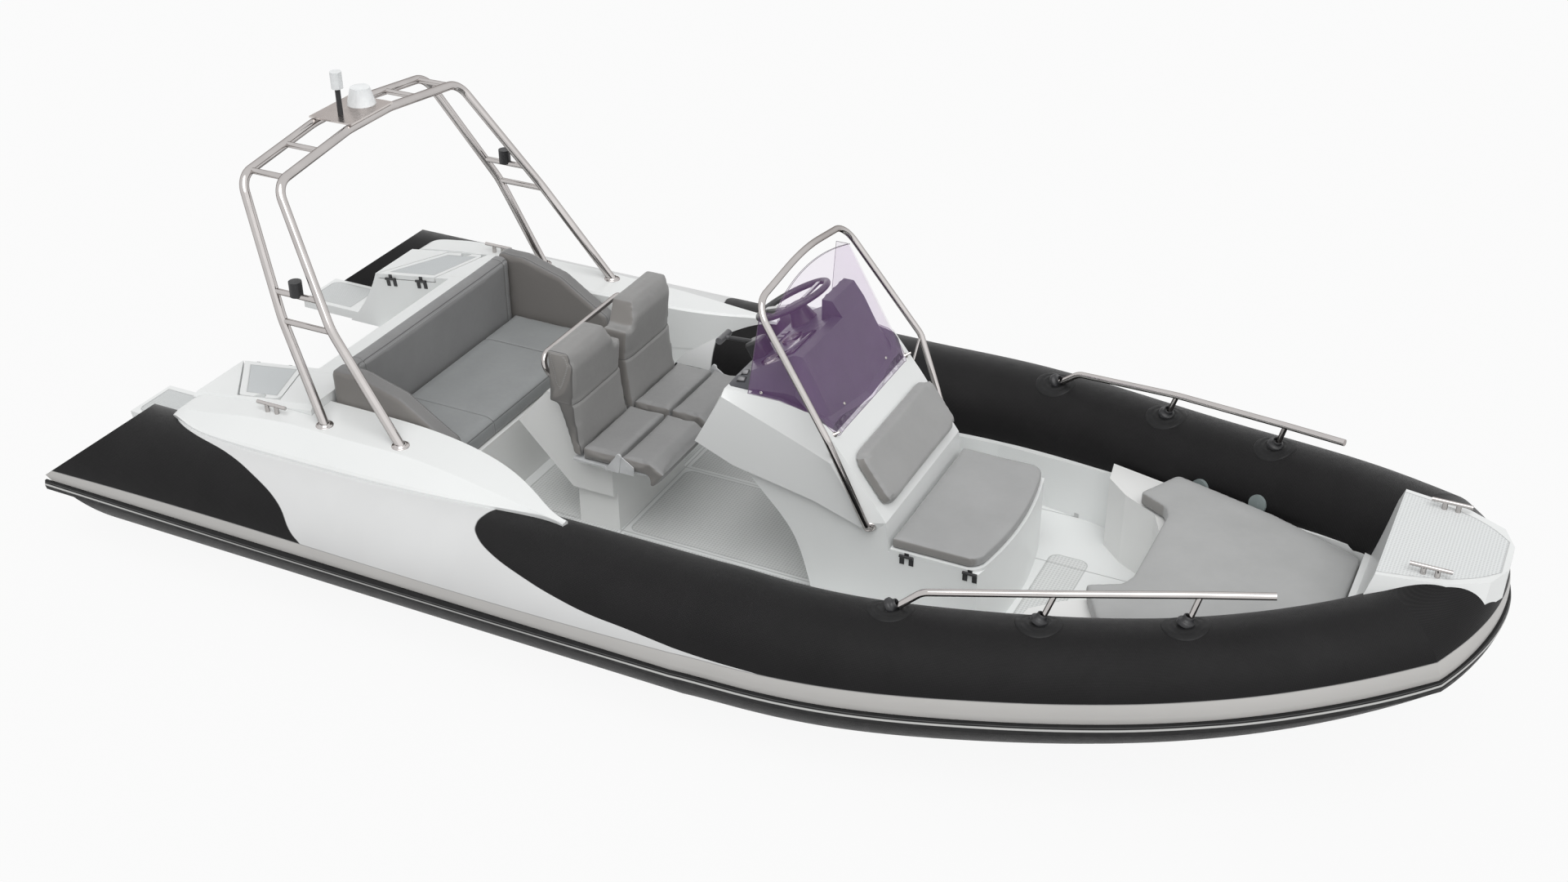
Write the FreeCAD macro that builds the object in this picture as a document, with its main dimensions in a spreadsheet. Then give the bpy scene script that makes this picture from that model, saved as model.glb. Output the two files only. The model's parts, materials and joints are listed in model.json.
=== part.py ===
import FreeCAD, Part
import math
import os
import Sketcher
from FreeCAD import Placement, Rotation, Vector

# Rigid inflatable boat, afloat. X runs forward, Y to port, Z up, in millimetres.
# The origin is on the centreline at the waterline, amidships.

doc = FreeCAD.newDocument("rib_boat")
sheet = doc.addObject("Spreadsheet::Sheet", "Dims")

lengths = {
    # inflatable tubes and their rubbing strake
    "tube_stern_x": 2930, "tube_run": 5730, "tube_offset": 1025, "tube_height": 345,
    "tube_rise": 355, "tube_radius": 266, "tube_nose_radius": 202, "tube_straight": 3130,
    "tube_end_rake": 360, "overrun": 400,
    "strake_height": 46, "strake_proud": 15, "strake_drop": 22, "strake_bed": 40,
    # hull and deck moulding
    "keel_depth": 330, "chine_width": 810, "chine_depth": 70, "transom_x": 2450,
    "stem_back": 160, "stem_height": 330, "sole_height": 130, "sole_thick": 25,
    "liner_wall": 24, "transom_thick": 60, "cavity_back": 345, "liner_gap": 1,
    # stern block, its lids and the motor well
    "block_outer": 830, "block_shelf": 440, "block_toe": 170, "block_edge": 20,
    "deck_aft_x": 2430, "deck_aft_height": 648, "deck_rise": 92,
    "well_width": 1000, "well_fore_x": 1990, "well_floor": 250,
    "bracket_width": 560, "bracket_top": 305, "bracket_depth": 60,
    "bracket_thick": 50, "motor_hole": 13, "motor_row_wide": 327,
    "motor_row_narrow": 251, "motor_hole_drop": 60, "motor_row_gap": 203,
    "platform_height": 400, "platform_thick": 45, "platform_length": 290,
    "lid_aft_x": 2420, "lid_length": 345, "lid_width": 300, "lid_skew": 225, "lid_lead": 105,
    "lid_thick": 22, "lid_clear": 5, "locker_margin": 30, "locker_depth": 230,
    "hinge_width": 60, "hinge_pin": 6, "hinge_barrel": 13, "hinge_leaf": 3,
    "hinge_leaf_drop": 40, "hinge_side_play": 0.5, "hinge_bore_play": 0.05,
    "hinge_inset": 80,
    # coamings that cap the aft tubes
    "coaming_aft_x": 2400, "coaming_tip_x": 440, "coaming_inner": 690, "coaming_outer": 1062,
    "coaming_top": 700, "coaming_lip": 10, "coaming_foot": 465,
    # lounge across the stern
    "seat_height": 550, "seat_back_x": 1690, "seat_front_x": 1200, "seat_cushion": 90,
    "soft_gap": 0.5, "back_top": 860, "back_thick": 90, "arm_thick": 85, "arm_front_x": 1160,
    "arm_tip_height": 630,
    # helm seat on its pod
    "pod_fore_x": 600, "pod_aft_x": 800, "pod_width": 600, "pod_shoulder_width": 680,
    "pod_shoulder_x": 1060, "pod_shoulder_height": 600, "pod_top": 782, "pod_top_fore_x": 800,
    "pod_top_aft_x": 905, "pod_chine": 330,
    "helm_seat_top": 605, "helm_seat_thick": 65, "helm_seat_width": 418, "helm_seat_apart": 24,
    "helm_seam_x": 505, "helm_edge_x": 360, "helm_nose_x": 295,
    "helm_nose_drop": 50, "helm_back_foot_x": 694, "helm_back_foot_thick": 41,
    "helm_back_top": 1049, "helm_back_thick": 103, "helm_back_lean": 43, "helm_notch": 110,
    "helm_notch_width": 260, "helm_plate_thick": 8, "bolster_inset": 20, "ear_length": 70,
    "ear_thick": 4, "pivot_rise": 6, "pivot_eye": 24, "pivot_pin": 10, "ear_apart": 1,
    "grip_tube": 25, "grip_reach": 40, "grip_rise": 165, "grip_foot_width": 580,
    "grip_width": 740,
    # console
    "wing_flare": 30, "console_aft_x": 141, "console_aft_height": 783,
    "rim_x": 15, "rim_height": 1020, "brow_x": 466, "brow_height": 920, "brow_horn": 85,
    "knee_back": 15, "knee_height": 600, "well_knee_x": 286, "well_knee_height": 445,
    "well_foot_x": 390, "wing_root_x": 81, "wing_fore_x": 602, "wing_fore_height": 573,
    "wing_mid_height": 712,
    "box_aft_x": 715, "box_length": 430, "box_width": 800, "box_height": 470, "box_wall": 25,
    "lid_board": 14, "box_cushion": 52, "seat_corner": 60, "rest_thick": 50,
    "rest_height": 275, "rest_width": 740, "rest_foot_gap": 31,
    "dash_height": 1205, "dash_half_width": 372, "dash_crest_x": 245, "dash_crest": 40,
    "dash_flank": 72, "hood_height": 1268, "hood_inner": 80, "hood_outer": 330, "hood_run": 45,
    "screen_thick": 6, "screen_top_x": 165, "screen_top": 1390, "screen_arch": 60,
    "screen_half_width": 358, "screen_foot_half": 412, "screen_aft_foot": 72,
    "screen_aft_top": 134, "screen_corner": 80, "screen_corner_top": 9,
    "rail_tube": 28, "rail_foot_x": 640, "rail_foot_height": 576, "rail_foot_half": 440,
    "rail_knee_x": 474, "rail_knee_height": 981, "rail_knee_half": 484,
    "rail_bend_x": 135, "rail_bend_height": 1455, "rail_bend_half": 412, "rail_arch": 70,
    "rail_bend_round": 110, "rail_foot_round": 20, "rail_stay": 12,
    "wheel_diameter": 350, "wheel_rim": 28, "wheel_offset": 175, "wheel_along": 95,
    "wheel_dish": 40, "wheel_hub": 80, "wheel_hub_thick": 24, "wheel_gap": 0.3,
    "bezel_foot": 120, "bezel_height": 60, "throttle_size": 76, "throttle_lever": 150,
    "throttle_along": 47, "throttle_offset": 130, "throttle_grip": 90,
    "cup_outer": 92, "cup_inner": 78, "cup_rim": 10,
    "cup_offset": 60, "cup_apart": 190, "cup_along": 165,
    # bow
    "bow_base_back": 1140, "bow_base_height": 470, "bow_wing_back": 1470, "bow_wing_inner": 540,
    "sunpad_thick": 78, "sunpad_tip_back": 1285, "sunpad_tip_half": 370,
    "sunpad_notch_back": 1138, "sunpad_notch": 235, "sunpad_edge_back": 1175,
    "step_aft_back": 244, "step_length": 430, "step_half_width": 315, "step_top": 867,
    "step_flange": 40, "step_flange_drop": 95, "step_lean": 28,
    "cleat_length": 150, "cleat_height": 40, "cleat_foot": 20,
    "cleat_back": 65, "cleat_offset": 235, "stern_cleat_x": 1950, "stern_cleat_offset": 880,
    # handrails on the tubes
    "handrail_tube": 28, "handrail_height": 115, "handrail_inset": 12, "handrail_tail": 262,
    "handrail_lead": 60, "handrail_rise": 75, "patch_diameter": 180, "patch_thick": 8,
    # roll bar
    "bar_tube": 40, "bar_foot_x": 1250, "bar_foot_half": 878, "bar_gap_foot": 405,
    "bar_knee_x": 1621, "bar_knee_half": 820, "bar_knee_height": 1136, "bar_gap_knee": 249,
    "bar_bend_x": 1942, "bar_bend_half": 655, "bar_bend_height": 1662, "bar_foot_sink": 60,
    "bar_crown_height": 1718, "bar_gap_top": 185, "bar_round": 100,
    "bar_rung": 26, "bar_plate": 300, "bar_plate_thick": 8, "mast_tube": 24,
    "mast_height": 120, "lamp_diameter": 52, "lamp_height": 75, "dome_diameter": 130,
    "dome_height": 75, "side_lamp": 56, "valve_diameter": 80, "valve_thick": 10,
}


class Size:
    """A named size, or a sum or share of named sizes, with its formula."""

    def __init__(self, v, text):
        self.v = v
        self.text = text

    def _join(self, other, sign, value):
        right = other.text if isinstance(other, Size) else repr(float(other))
        return Size(value, "(" + self.text + sign + right + ")")

    def __add__(self, o):
        return self._join(o, " + ", self.v + number(o))

    def __sub__(self, o):
        return self._join(o, " - ", self.v - number(o))

    def __mul__(self, o):
        return self._join(o, " * ", self.v * number(o))

    def __truediv__(self, o):
        return self._join(o, " / ", self.v / number(o))

    def __neg__(self):
        return Size(-self.v, "(0 - " + self.text + ")")


def number(s):
    return s.v if isinstance(s, Size) else float(s)


class Sizes:
    """Writes the named values to the sheet and hands each back as a Size."""

    def __init__(self, table):
        for row, (name, value) in enumerate(table.items(), 1):
            sheet.set("A%d" % row, name)
            sheet.set("B%d" % row, str(value))
            sheet.setAlias("B%d" % row, name)
            setattr(self, name, Size(float(value), "Dims." + name))


d = Sizes(lengths)
sub_parts = []


def keep(obj):
    sub_parts.append(obj)
    return obj


def feature(label, shape, base=None):
    """A free-form sub-part, with its placement after its shape."""
    obj = doc.addObject("Part::Feature", label)
    obj.Label = label
    obj.Shape = shape
    obj.Placement = base or Placement()
    return keep(obj)


def bind(obj, **sizes):
    for name, size in sizes.items():
        obj.setExpression(name, size.text)


def plane(body, role):
    return [o for o in body.Origin.OriginFeatures if o.Role == role][0]


def add_pad(body, label, role, points, depth):
    """A pad both ways from a sketched outline whose corners follow the sheet."""
    sk = body.newObject("Sketcher::SketchObject", label + "_outline")
    sk.AttachmentSupport = [(plane(body, role), "")]
    sk.MapMode = "FlatFace"
    n = len(points)
    for i in range(n):
        a, b = points[i], points[(i + 1) % n]
        sk.addGeometry(Part.LineSegment(Vector(number(a[0]), number(a[1]), 0),
                                        Vector(number(b[0]), number(b[1]), 0)), False)
    for i in range(n):
        sk.addConstraint(Sketcher.Constraint("Coincident", i, 2, (i + 1) % n, 1))
    for i, (u, w) in enumerate(points):
        for kind, size in (("DistanceX", u), ("DistanceY", w)):
            k = sk.addConstraint(Sketcher.Constraint(kind, -1, 1, i, 1, number(size)))
            if isinstance(size, Size):
                sk.setExpression("Constraints[%d]" % k, size.text)
    pad = body.newObject("PartDesign::Pad", label + "_pad")
    pad.Profile = sk
    pad.Midplane = True
    pad.Length = number(depth)
    pad.setExpression("Length", depth.text)
    sk.Visibility = False
    return pad


def profile_body(label, role, points, depth, place=None):
    body = doc.addObject("PartDesign::Body", label)
    body.Label = label
    add_pad(body, label, role, points, depth)
    if place:
        body.Placement = Placement(Vector(*[number(p) for p in place]), Rotation())
    return keep(body)


def round_edges(body, label, radius, pick):
    """Rounds the body's edges that a test picks, by a radius from the sheet."""
    doc.recompute()
    base = body.Tip
    names = ["Edge%d" % (i + 1) for i, e in enumerate(base.Shape.Edges) if pick(e)]
    fillet = body.newObject("PartDesign::Fillet", label)
    fillet.Base = (base, names)
    fillet.Radius = number(radius)
    fillet.setExpression("Radius", radius.text)
    return fillet


def runs(edge, axis):
    """Whether a straight edge runs along the axis."""
    a, b = edge.Vertexes[0].Point, edge.Vertexes[-1].Point
    return abs((b - a).normalize().dot(axis)) > math.cos(math.radians(1)) if a != b else False


def box(label, corner, sides, turn=None):
    b = doc.addObject("Part::Box", label)
    b.Label = label
    bind(b, Length=sides[0], Width=sides[1], Height=sides[2])
    b.Placement = Placement(Vector(*[number(p) for p in corner]), turn or Rotation())
    return keep(b)


def mirror(shape):
    return shape.mirror(Vector(0, 0, 0), Vector(0, 1, 0))


def polygon(points):
    return Part.makePolygon(points + points[:1])


def rounded_outline(points, radii):
    """A closed outline with an arc at each corner that has a radius."""
    n = len(points)
    ends, arcs = [], []
    for i in range(n):
        p, a, b = points[i], points[i - 1], points[(i + 1) % n]
        if not radii[i]:
            ends.append((p, p))
            arcs.append(None)
            continue
        u, w = (a - p).normalize(), (b - p).normalize()
        half = u.getAngle(w) / 2
        cut = radii[i] / math.tan(half)
        mid = (u + w).normalize() * (radii[i] / math.sin(half) - radii[i])
        ends.append((p + u * cut, p + w * cut))
        arcs.append(Part.Arc(p + u * cut, p + mid, p + w * cut).toShape())
    edges = []
    for i in range(n):
        if arcs[i]:
            edges.append(arcs[i])
        edges.append(Part.LineSegment(ends[i][1], ends[(i + 1) % n][0]).toShape())
    return Part.Wire(edges)


def rounded_path(points, radii):
    """Straight runs joined by tangent arcs, as a bent tube is."""
    edges = []
    start = points[0]
    for i in range(1, len(points) - 1):
        p, a, b = points[i], points[i - 1], points[i + 1]
        u, w = (a - p).normalize(), (b - p).normalize()
        half = u.getAngle(w) / 2
        if half > math.radians(89.8):
            continue
        cut = radii[i - 1] / math.tan(half)
        mid = (u + w).normalize() * (radii[i - 1] / math.sin(half) - radii[i - 1])
        edges.append(Part.LineSegment(start, p + u * cut).toShape())
        edges.append(Part.Arc(p + u * cut, p + mid, p + w * cut).toShape())
        start = p + w * cut
    edges.append(Part.LineSegment(start, points[-1]).toShape())
    return Part.Wire(edges)


def tube_along(points, radii, diameter):
    path = rounded_path(points, radii)
    ring = Part.Wire([Part.Circle(points[0], points[1] - points[0], diameter / 2).toShape()])
    return path.makePipeShell([ring], True, False)


def largest(shape):
    return max(shape.Solids, key=lambda q: q.Volume)


def mirrored_points(points):
    """The points and then their mirror images, back to the start."""
    return points + [Vector(p.x, -p.y, p.z) for p in points[::-1]]


def placed(shape, place):
    moved = shape.copy()
    moved.Placement = place.multiply(moved.Placement)
    return moved


# Inflatable tubes.
# Each station: shares of the forward run, of the side offset, of the rise and of the taper.
station_shares = [
    (0, 1, 0, 0), (0.096, 1, 0.02, 0.09), (0.219, 0.990, 0.068, 0.22),
    (0.404, 0.905, 0.160, 0.40), (0.570, 0.793, 0.270, 0.57), (0.718, 0.672, 0.430, 0.72),
    (0.848, 0.525, 0.620, 0.85), (0.958, 0.345, 0.810, 0.96), (0.988, 0.185, 0.930, 0.99),
    (1, 0, 1, 1)]
mitre = len(station_shares) - 3
bulge_x = d.tube_straight - d.tube_stern_x
run_fore = d.tube_run - d.tube_straight


def station(i):
    sx, sy, sz, sr = station_shares[i]
    centre = Vector(number(bulge_x + run_fore * sx), -number(d.tube_offset * sy),
                    number(d.tube_height + d.tube_rise * sz))
    radius = number(d.tube_radius - (d.tube_radius - d.tube_nose_radius) * sr)
    return centre, radius


def frame_at(i):
    """Centre, radius, outward and upward directions of the starboard tube."""
    c, r = station(i)
    last = len(station_shares) - 1
    before = c - station(i - 1)[0] if i else Vector(1, 0, 0)
    after = station(i + 1)[0] - c if i < last else Vector(0, 1, 0)
    if i == last:
        along = Vector(0, 1, 0)
    elif i == 0:
        along = Vector(1, 0, 0)
    else:
        along = before.normalize() + after.normalize()
    along.normalize()
    out = Vector(along.y, -along.x, 0).normalize()
    up = out.cross(along)
    if up.z < 0:
        up = up * -1
    stretch = 1.0
    if i == mitre:
        half = before.getAngle(after) / 2
        stretch = 1 / math.cos(half)
    return c, r, out, up, stretch


def section(i, outline, port=False):
    """Points (out, up) round the tube centre, placed at station i."""
    c, r, out, up, stretch = frame_at(i)
    pts = [c + out * (a * stretch) + up * b for a, b in outline(r)]
    if port:
        pts = [Vector(p.x, -p.y, p.z) for p in pts]
    return pts


def ring_outline(r):
    return [(r * math.cos(2 * math.pi * k / 12), r * math.sin(2 * math.pi * k / 12))
            for k in range(12)]


def smooth_ring(points):
    curve = Part.BSplineCurve()
    curve.interpolate(Points=points, PeriodicFlag=True)
    return Part.Wire([curve.toShape()])


def strake_outline(r):
    low = -number(d.strake_drop + d.strake_height)
    high = -number(d.strake_drop)
    proud, bed = number(d.strake_proud), number(d.strake_bed)
    nose = (high + low) / 2
    return [(r - bed, low), (r + proud * 0.6, low), (r + proud, nose),
            (r + proud * 0.6, high), (r - bed, high)]


fore_wires = [smooth_ring(section(i, ring_outline)) for i in range(mitre + 1)]
fore_stbd = Part.makeLoft(fore_wires, True, False)
bow_wires = [smooth_ring(section(i, ring_outline)) for i in range(mitre, len(station_shares))]
bow_wires += [smooth_ring(section(i, ring_outline, True))
              for i in range(len(station_shares) - 2, mitre - 1, -1)]
tube_bow_shape = Part.makeLoft(bow_wires, True, False)

# The aft run is straight, cut to a wedge at the stern.
aft_round = Part.Face(fore_wires[0]).extrude(Vector(-d.tube_straight.v, 0, 0))
r0 = d.tube_radius.v
tip = Vector(-d.tube_stern_x.v, -d.tube_offset.v - 2 * r0, d.tube_height.v)
back = d.tube_end_rake.v
wedge = Part.Face(polygon([tip, tip + Vector(2 * back, 0, 2 * r0),
                           tip + Vector(d.tube_run.v, 0, 2 * r0),
                           tip + Vector(d.tube_run.v, 0, -2 * r0),
                           tip + Vector(2 * back, 0, -2 * r0)]))
wedge = wedge.extrude(Vector(0, 4 * r0, 0))
aft_stbd = aft_round.common(wedge)
aft_port_round = mirror(aft_round)

# The bow step's cap is let into the tubes that it sits on.
bow_tip = (d.tube_run - d.tube_stern_x).v
step_shares = ((0, 1), (0.565, 0.857), (0.89, 0.603), (1, 0.254))


def step_outline(z, widen, lean):
    """The step's outline at a height, widened at the sides and lengthened aft."""
    side = [Vector(bow_tip - d.step_aft_back.v + s * d.step_length.v - (1 - s) * lean,
                   -w * d.step_half_width.v - widen, z) for s, w in step_shares]
    return polygon(mirrored_points(side))


step_low = (d.step_top - d.step_flange_drop).v
step_cap = Part.makeLoft([step_outline(d.step_top.v, 0, 0),
                          step_outline(step_low, d.step_flange.v, d.step_lean.v)], True, True)
fore_cut = largest(fore_stbd.cut(step_cap))

feature("tube_stbd_aft", aft_stbd)
feature("tube_stbd_fore", fore_cut)
feature("tube_bow", largest(tube_bow_shape.cut(step_cap)))
feature("tube_port_fore", mirror(fore_cut))
feature("tube_port_aft", mirror(aft_stbd))
tubes = [aft_stbd, fore_stbd, tube_bow_shape, mirror(fore_stbd), mirror(aft_stbd)]
tube_cut = Part.makeCompound(tubes)

# Rubbing strake along the widest line.
strake_fore = Part.makeLoft([polygon(section(i, strake_outline)) for i in range(mitre + 1)],
                            True, False)
aft_end = [Vector(-d.tube_stern_x.v, p.y, p.z) for p in section(0, strake_outline)]
strake_aft = Part.Face(polygon(aft_end)).extrude(Vector(d.tube_straight.v, 0, 0))
strake_side = strake_aft.fuse(strake_fore).cut(Part.makeCompound([aft_round, fore_stbd]))
strake_bow = Part.makeLoft(
    [polygon(section(i, strake_outline)) for i in range(mitre, len(station_shares))]
    + [polygon(section(i, strake_outline, True))
       for i in range(len(station_shares) - 2, mitre - 1, -1)], True, False).cut(tube_bow_shape)
feature("rub_strake", strake_side.fuse([strake_bow, mirror(strake_side)]).removeSplitter())

# Hull and deck: sections follow the tubes' undersides.
# Each row: tube station or share of the straight aft run, then keel and chine shares.
hull_shares = [
    ("aft", 0.0, 1.0, 1.0, 1.0), ("aft", 0.5, 1.0, 1.0, 0.9), (0, 0, 1.0, 0.99, 0.6),
    (2, 0, 0.97, 0.96, 0.1), (3, 0, 0.87, 0.83, -0.9), (4, 0, 0.68, 0.66, -2.2),
    (5, 0, 0.36, 0.46, -3.8), (6, 0, -0.16, 0.25, -5.4)]


def hull_section(row):
    where, share, keel, chine, chine_drop = row
    if where == "aft":
        x = -d.transom_x.v + share * (d.transom_x.v + bulge_x.v)
        c, r = Vector(x, -d.tube_offset.v, d.tube_height.v), d.tube_radius.v
    else:
        c, r = station(where)
    zk, yc, zc = -keel * d.keel_depth.v, chine * d.chine_width.v, -chine_drop * d.chine_depth.v
    side = [(yc, zc), (-c.y - 0.36 * r, c.z - 0.90 * r), (-c.y - 0.80 * r, c.z)]
    return [Vector(c.x, 0, zk)] + mirrored_points([Vector(c.x, -y, z) for y, z in side])


def stem_section():
    c, r = station(mitre)
    x = bow_tip - d.stem_back.v
    side = [(0.06 * d.chine_width.v, c.z - 1.1 * r), (-c.y - 0.36 * r, c.z - 0.95 * r),
            (-c.y - 0.8 * r, c.z - 0.2 * r)]
    return [Vector(x, 0, d.stem_height.v)] + mirrored_points([Vector(x, -y, z) for y, z in side])


hull_wires = [polygon(hull_section(row)) for row in hull_shares] + [polygon(stem_section())]
moulding = Part.makeLoft(hull_wires, True, True).cut(tube_cut)
floor_z = (d.sole_height - d.sole_thick).v
big = d.tube_run.v * 2
low_half = Part.makeBox(big, big, big, Vector(-big / 2, -big / 2, floor_z - big))
high_half = Part.makeBox(big, big, big, Vector(-big / 2, -big / 2, floor_z))
feature("hull", moulding.common(low_half))


def liner_point(i):
    c, r = station(i)
    return c.x, -c.y - r - d.liner_wall.v


def liner_at(x):
    """The half width inside the liner at a place along the boat."""
    for k in range(mitre):
        (xa, ya), (xb, yb) = liner_point(k), liner_point(k + 1)
        if xa <= x <= xb:
            return ya + (x - xa) / (xb - xa) * (yb - ya)
    return aft_inner


aft_inner = (d.tube_offset - d.tube_radius - d.liner_wall).v
gap = d.liner_gap.v
soft = d.soft_gap.v


def cockpit_outline(shrink, x_aft, x_fore):
    """Half plan of the open cockpit, from aft to fore, pulled in by a gap."""
    places = [x_aft] + [liner_point(i)[0] for i in range(mitre + 1)
                        if x_aft < liner_point(i)[0] < x_fore] + [x_fore]
    return [(x, liner_at(x) - shrink) for x in places]


def prism(half, z0, z1):
    pts = mirrored_points([Vector(x, -y, z0) for x, y in half])
    return Part.Face(polygon(pts)).extrude(Vector(0, 0, z1 - z0))


cavity_fore = bow_tip - d.cavity_back.v
cavity = prism(cockpit_outline(0, -(d.transom_x - d.transom_thick).v, cavity_fore),
               d.sole_height.v, d.sole_height.v + d.tube_run.v)
deck = moulding.common(high_half).cut(cavity)
feature("deck_moulding", deck)

# Stern block between the coamings, with the well for the outboard motor.
block_front = -(d.seat_back_x + d.back_thick).v - soft
deck_fore_height = (d.deck_aft_height + d.deck_rise).v
toe_z = d.tube_height.v + gap
toe = Vector(-(d.transom_x + d.block_toe).v, 0, toe_z)
deck_aft = Vector(-d.deck_aft_x.v, 0, d.deck_aft_height.v)
hollow_mid = (toe + deck_aft) / 2 + Vector(d.block_toe.v / 12, 0, -d.block_toe.v / 12)
inside_x = -(d.transom_x - d.transom_thick).v + gap
shape_edges = [
    Part.LineSegment(Vector(inside_x, 0, d.sole_height.v), Vector(inside_x, 0, toe_z)).toShape(),
    Part.LineSegment(Vector(inside_x, 0, toe_z), toe).toShape(),
    Part.Arc(toe, hollow_mid, deck_aft).toShape(),
    Part.LineSegment(deck_aft, Vector(block_front, 0, deck_fore_height)).toShape(),
    Part.LineSegment(Vector(block_front, 0, deck_fore_height),
                     Vector(block_front, 0, d.sole_height.v)).toShape(),
    Part.LineSegment(Vector(block_front, 0, d.sole_height.v),
                     Vector(inside_x, 0, d.sole_height.v)).toShape()]
block_face = Part.Face(Part.Wire(shape_edges))
outer = d.block_outer.v
block_face.translate(Vector(0, -outer, 0))
block = block_face.extrude(Vector(0, 2 * outer, 0))
deck_edges = [e for e in block.Edges
              if abs(abs(e.CenterOfMass.y) - outer) < gap
              and e.CenterOfMass.z > d.deck_aft_height.v and e.Vertexes[0].Z != e.Vertexes[-1].Z
              and e.BoundBox.XLength > d.block_edge.v]
block = block.makeChamfer(d.block_edge.v, deck_edges)
inner = aft_inner - gap
for s in (-1, 1):
    block = block.cut(Part.makeBox(
        big, outer, d.block_shelf.v, Vector(-big / 2, inner if s > 0 else -inner - outer, 0)))
    block = block.cut(aft_round if s < 0 else aft_port_round)
well = Part.makeBox(d.transom_x.v + d.block_toe.v - d.well_fore_x.v, d.well_width.v, big,
                    Vector(-(d.transom_x + d.block_toe).v, -d.well_width.v / 2, d.well_floor.v))
slope = math.atan2(deck_fore_height - d.deck_aft_height.v, block_front + d.deck_aft_x.v)
lid_turn = Rotation(Vector(0, 1, 0), -math.degrees(slope))
deck_z = d.deck_aft_height.v + (d.deck_aft_x.v - d.lid_aft_x.v) * math.tan(slope)
lid_origin = Vector(-d.lid_aft_x.v, (d.well_width / 2).v, deck_z)


def on_lid(x, y, z):
    """A place on the port lid: along its hinge side, outward and up from the deck."""
    return lid_origin + lid_turn.multVec(Vector(x, 0, z)) + Vector(0, y, 0)


def lid_outline(grow, reach_in, z):
    """The lid's skewed outline, grown all round by a gap, at a height from the deck."""
    lean = grow * 1.7
    near, far, run = max(0, -reach_in), d.lid_width.v + grow, d.lid_length.v
    pts = [(-lean, near), (run + lean, near), (run + d.lid_lead.v + lean, far),
           (d.lid_skew.v - lean, far)]
    if reach_in > 0:
        pts = [(-lean, -reach_in), (run + lean, -reach_in)] + pts[1:] + pts[:1]
    return [on_lid(x, y, z) for x, y in pts]


up_lid = lid_turn.multVec(Vector(0, 0, 1))
lid_port = Part.Face(rounded_outline(lid_outline(0, 0, -d.lid_thick.v),
                                     [0, 0, d.locker_margin.v, d.locker_margin.v]))
lid_port = lid_port.extrude(up_lid * d.lid_thick.v)
notch = Part.makeCylinder(d.locker_margin.v, d.lid_thick.v * 3,
                          on_lid((d.lid_skew + d.lid_length + d.lid_lead).v / 2, d.lid_width.v,
                                 -2 * d.lid_thick.v), up_lid)
recess = Part.Face(polygon(lid_outline(d.lid_clear.v, d.overrun.v, -d.lid_thick.v
                                       - d.lid_clear.v)))
recess = recess.extrude(up_lid * d.overrun.v)
locker = Part.Face(polygon(lid_outline(-d.locker_margin.v, -d.locker_margin.v, 0)))
locker = locker.extrude(up_lid * -(d.locker_depth + d.lid_thick).v)
section_joint = Part.makeBox(big, soft, big,
                             Vector(-big / 2, d.well_width.v / 2 + d.locker_margin.v, 0))
for cutter in (well, recess, mirror(recess), locker, mirror(locker), section_joint,
               mirror(section_joint)):
    block = block.cut(cutter)
block = block.removeSplitter()
feature("stern_block", block)
feature("stern_lid_stbd", mirror(lid_port.cut(notch)))
feature("stern_lid_port", lid_port.cut(notch))

# Coamings capping the aft tubes.
# Each row: share of the length, inner and ridge and lip shares of the widths, top and ridge
# shares of the height over the tube.
coaming_shares = [
    (-0.03, 0, 0.62, 0.72, -0.25, -0.35), (0.0, 0, 0.70, 0.80, 0.38, 0.32),
    (0.05, 0, 0.74, 0.90, 0.62, 0.56), (0.14, 0, 0.73, 0.985, 0.86, 0.82),
    (0.28, 0, 0.64, 1, 1, 0.94), (0.45, 0, 0.64, 0.99, 1, 0.94), (0.58, 0.03, 0.63, 0.97, 1, 0.92),
    (0.69, 0.10, 0.66, 0.93, 0.92, 0.80), (0.82, 0.27, 0.71, 0.85, 0.66, 0.52),
    (0.91, 0.50, 0.74, 0.78, 0.40, 0.28), (1.0, 0.70, 0.76, 0.80, 0.12, 0.08)]
crown_z = (d.tube_height + d.tube_radius).v


def coaming_section(row):
    s, inward, ridge, lip, top, ridge_top = row
    x = -d.coaming_aft_x.v + s * (d.coaming_aft_x.v - d.coaming_tip_x.v)
    span = (d.coaming_outer - d.coaming_inner).v
    y_in, y_ridge, y_lip = [d.coaming_inner.v + q * span for q in (inward, ridge, lip)]
    rise = (d.coaming_top - crown_z).v
    z_top, z_ridge = crown_z + top * rise, crown_z + ridge_top * rise
    z_lip = min(crown_z + d.coaming_lip.v, z_ridge - d.coaming_lip.v / 5)
    foot_y = max(aft_inner + gap, y_in + 4 * gap)
    pts = [(foot_y, d.tube_height.v + gap), (foot_y, d.coaming_foot.v), (y_in, d.coaming_foot.v),
           (y_in, z_top - d.coaming_lip.v), (y_in + d.coaming_lip.v, z_top), (y_ridge, z_ridge),
           (y_ridge * 0.15 + y_lip * 0.85, z_lip + d.coaming_lip.v * 0.3), (y_lip, z_lip),
           (y_lip, z_lip - d.coaming_lip.v * 4), (d.tube_offset.v, d.tube_height.v)]
    return [Vector(x, -y, z) for y, z in pts]


coaming = Part.makeLoft([polygon(coaming_section(row)) for row in coaming_shares], True, False)
block_room = Part.makeBox(big, outer + gap, big, Vector(block_front + gap - big, -outer - gap, 0))
coaming = largest(coaming.cut(aft_round).cut(block_room))
feature("coaming_stbd", coaming)
feature("coaming_port", mirror(coaming))

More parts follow.
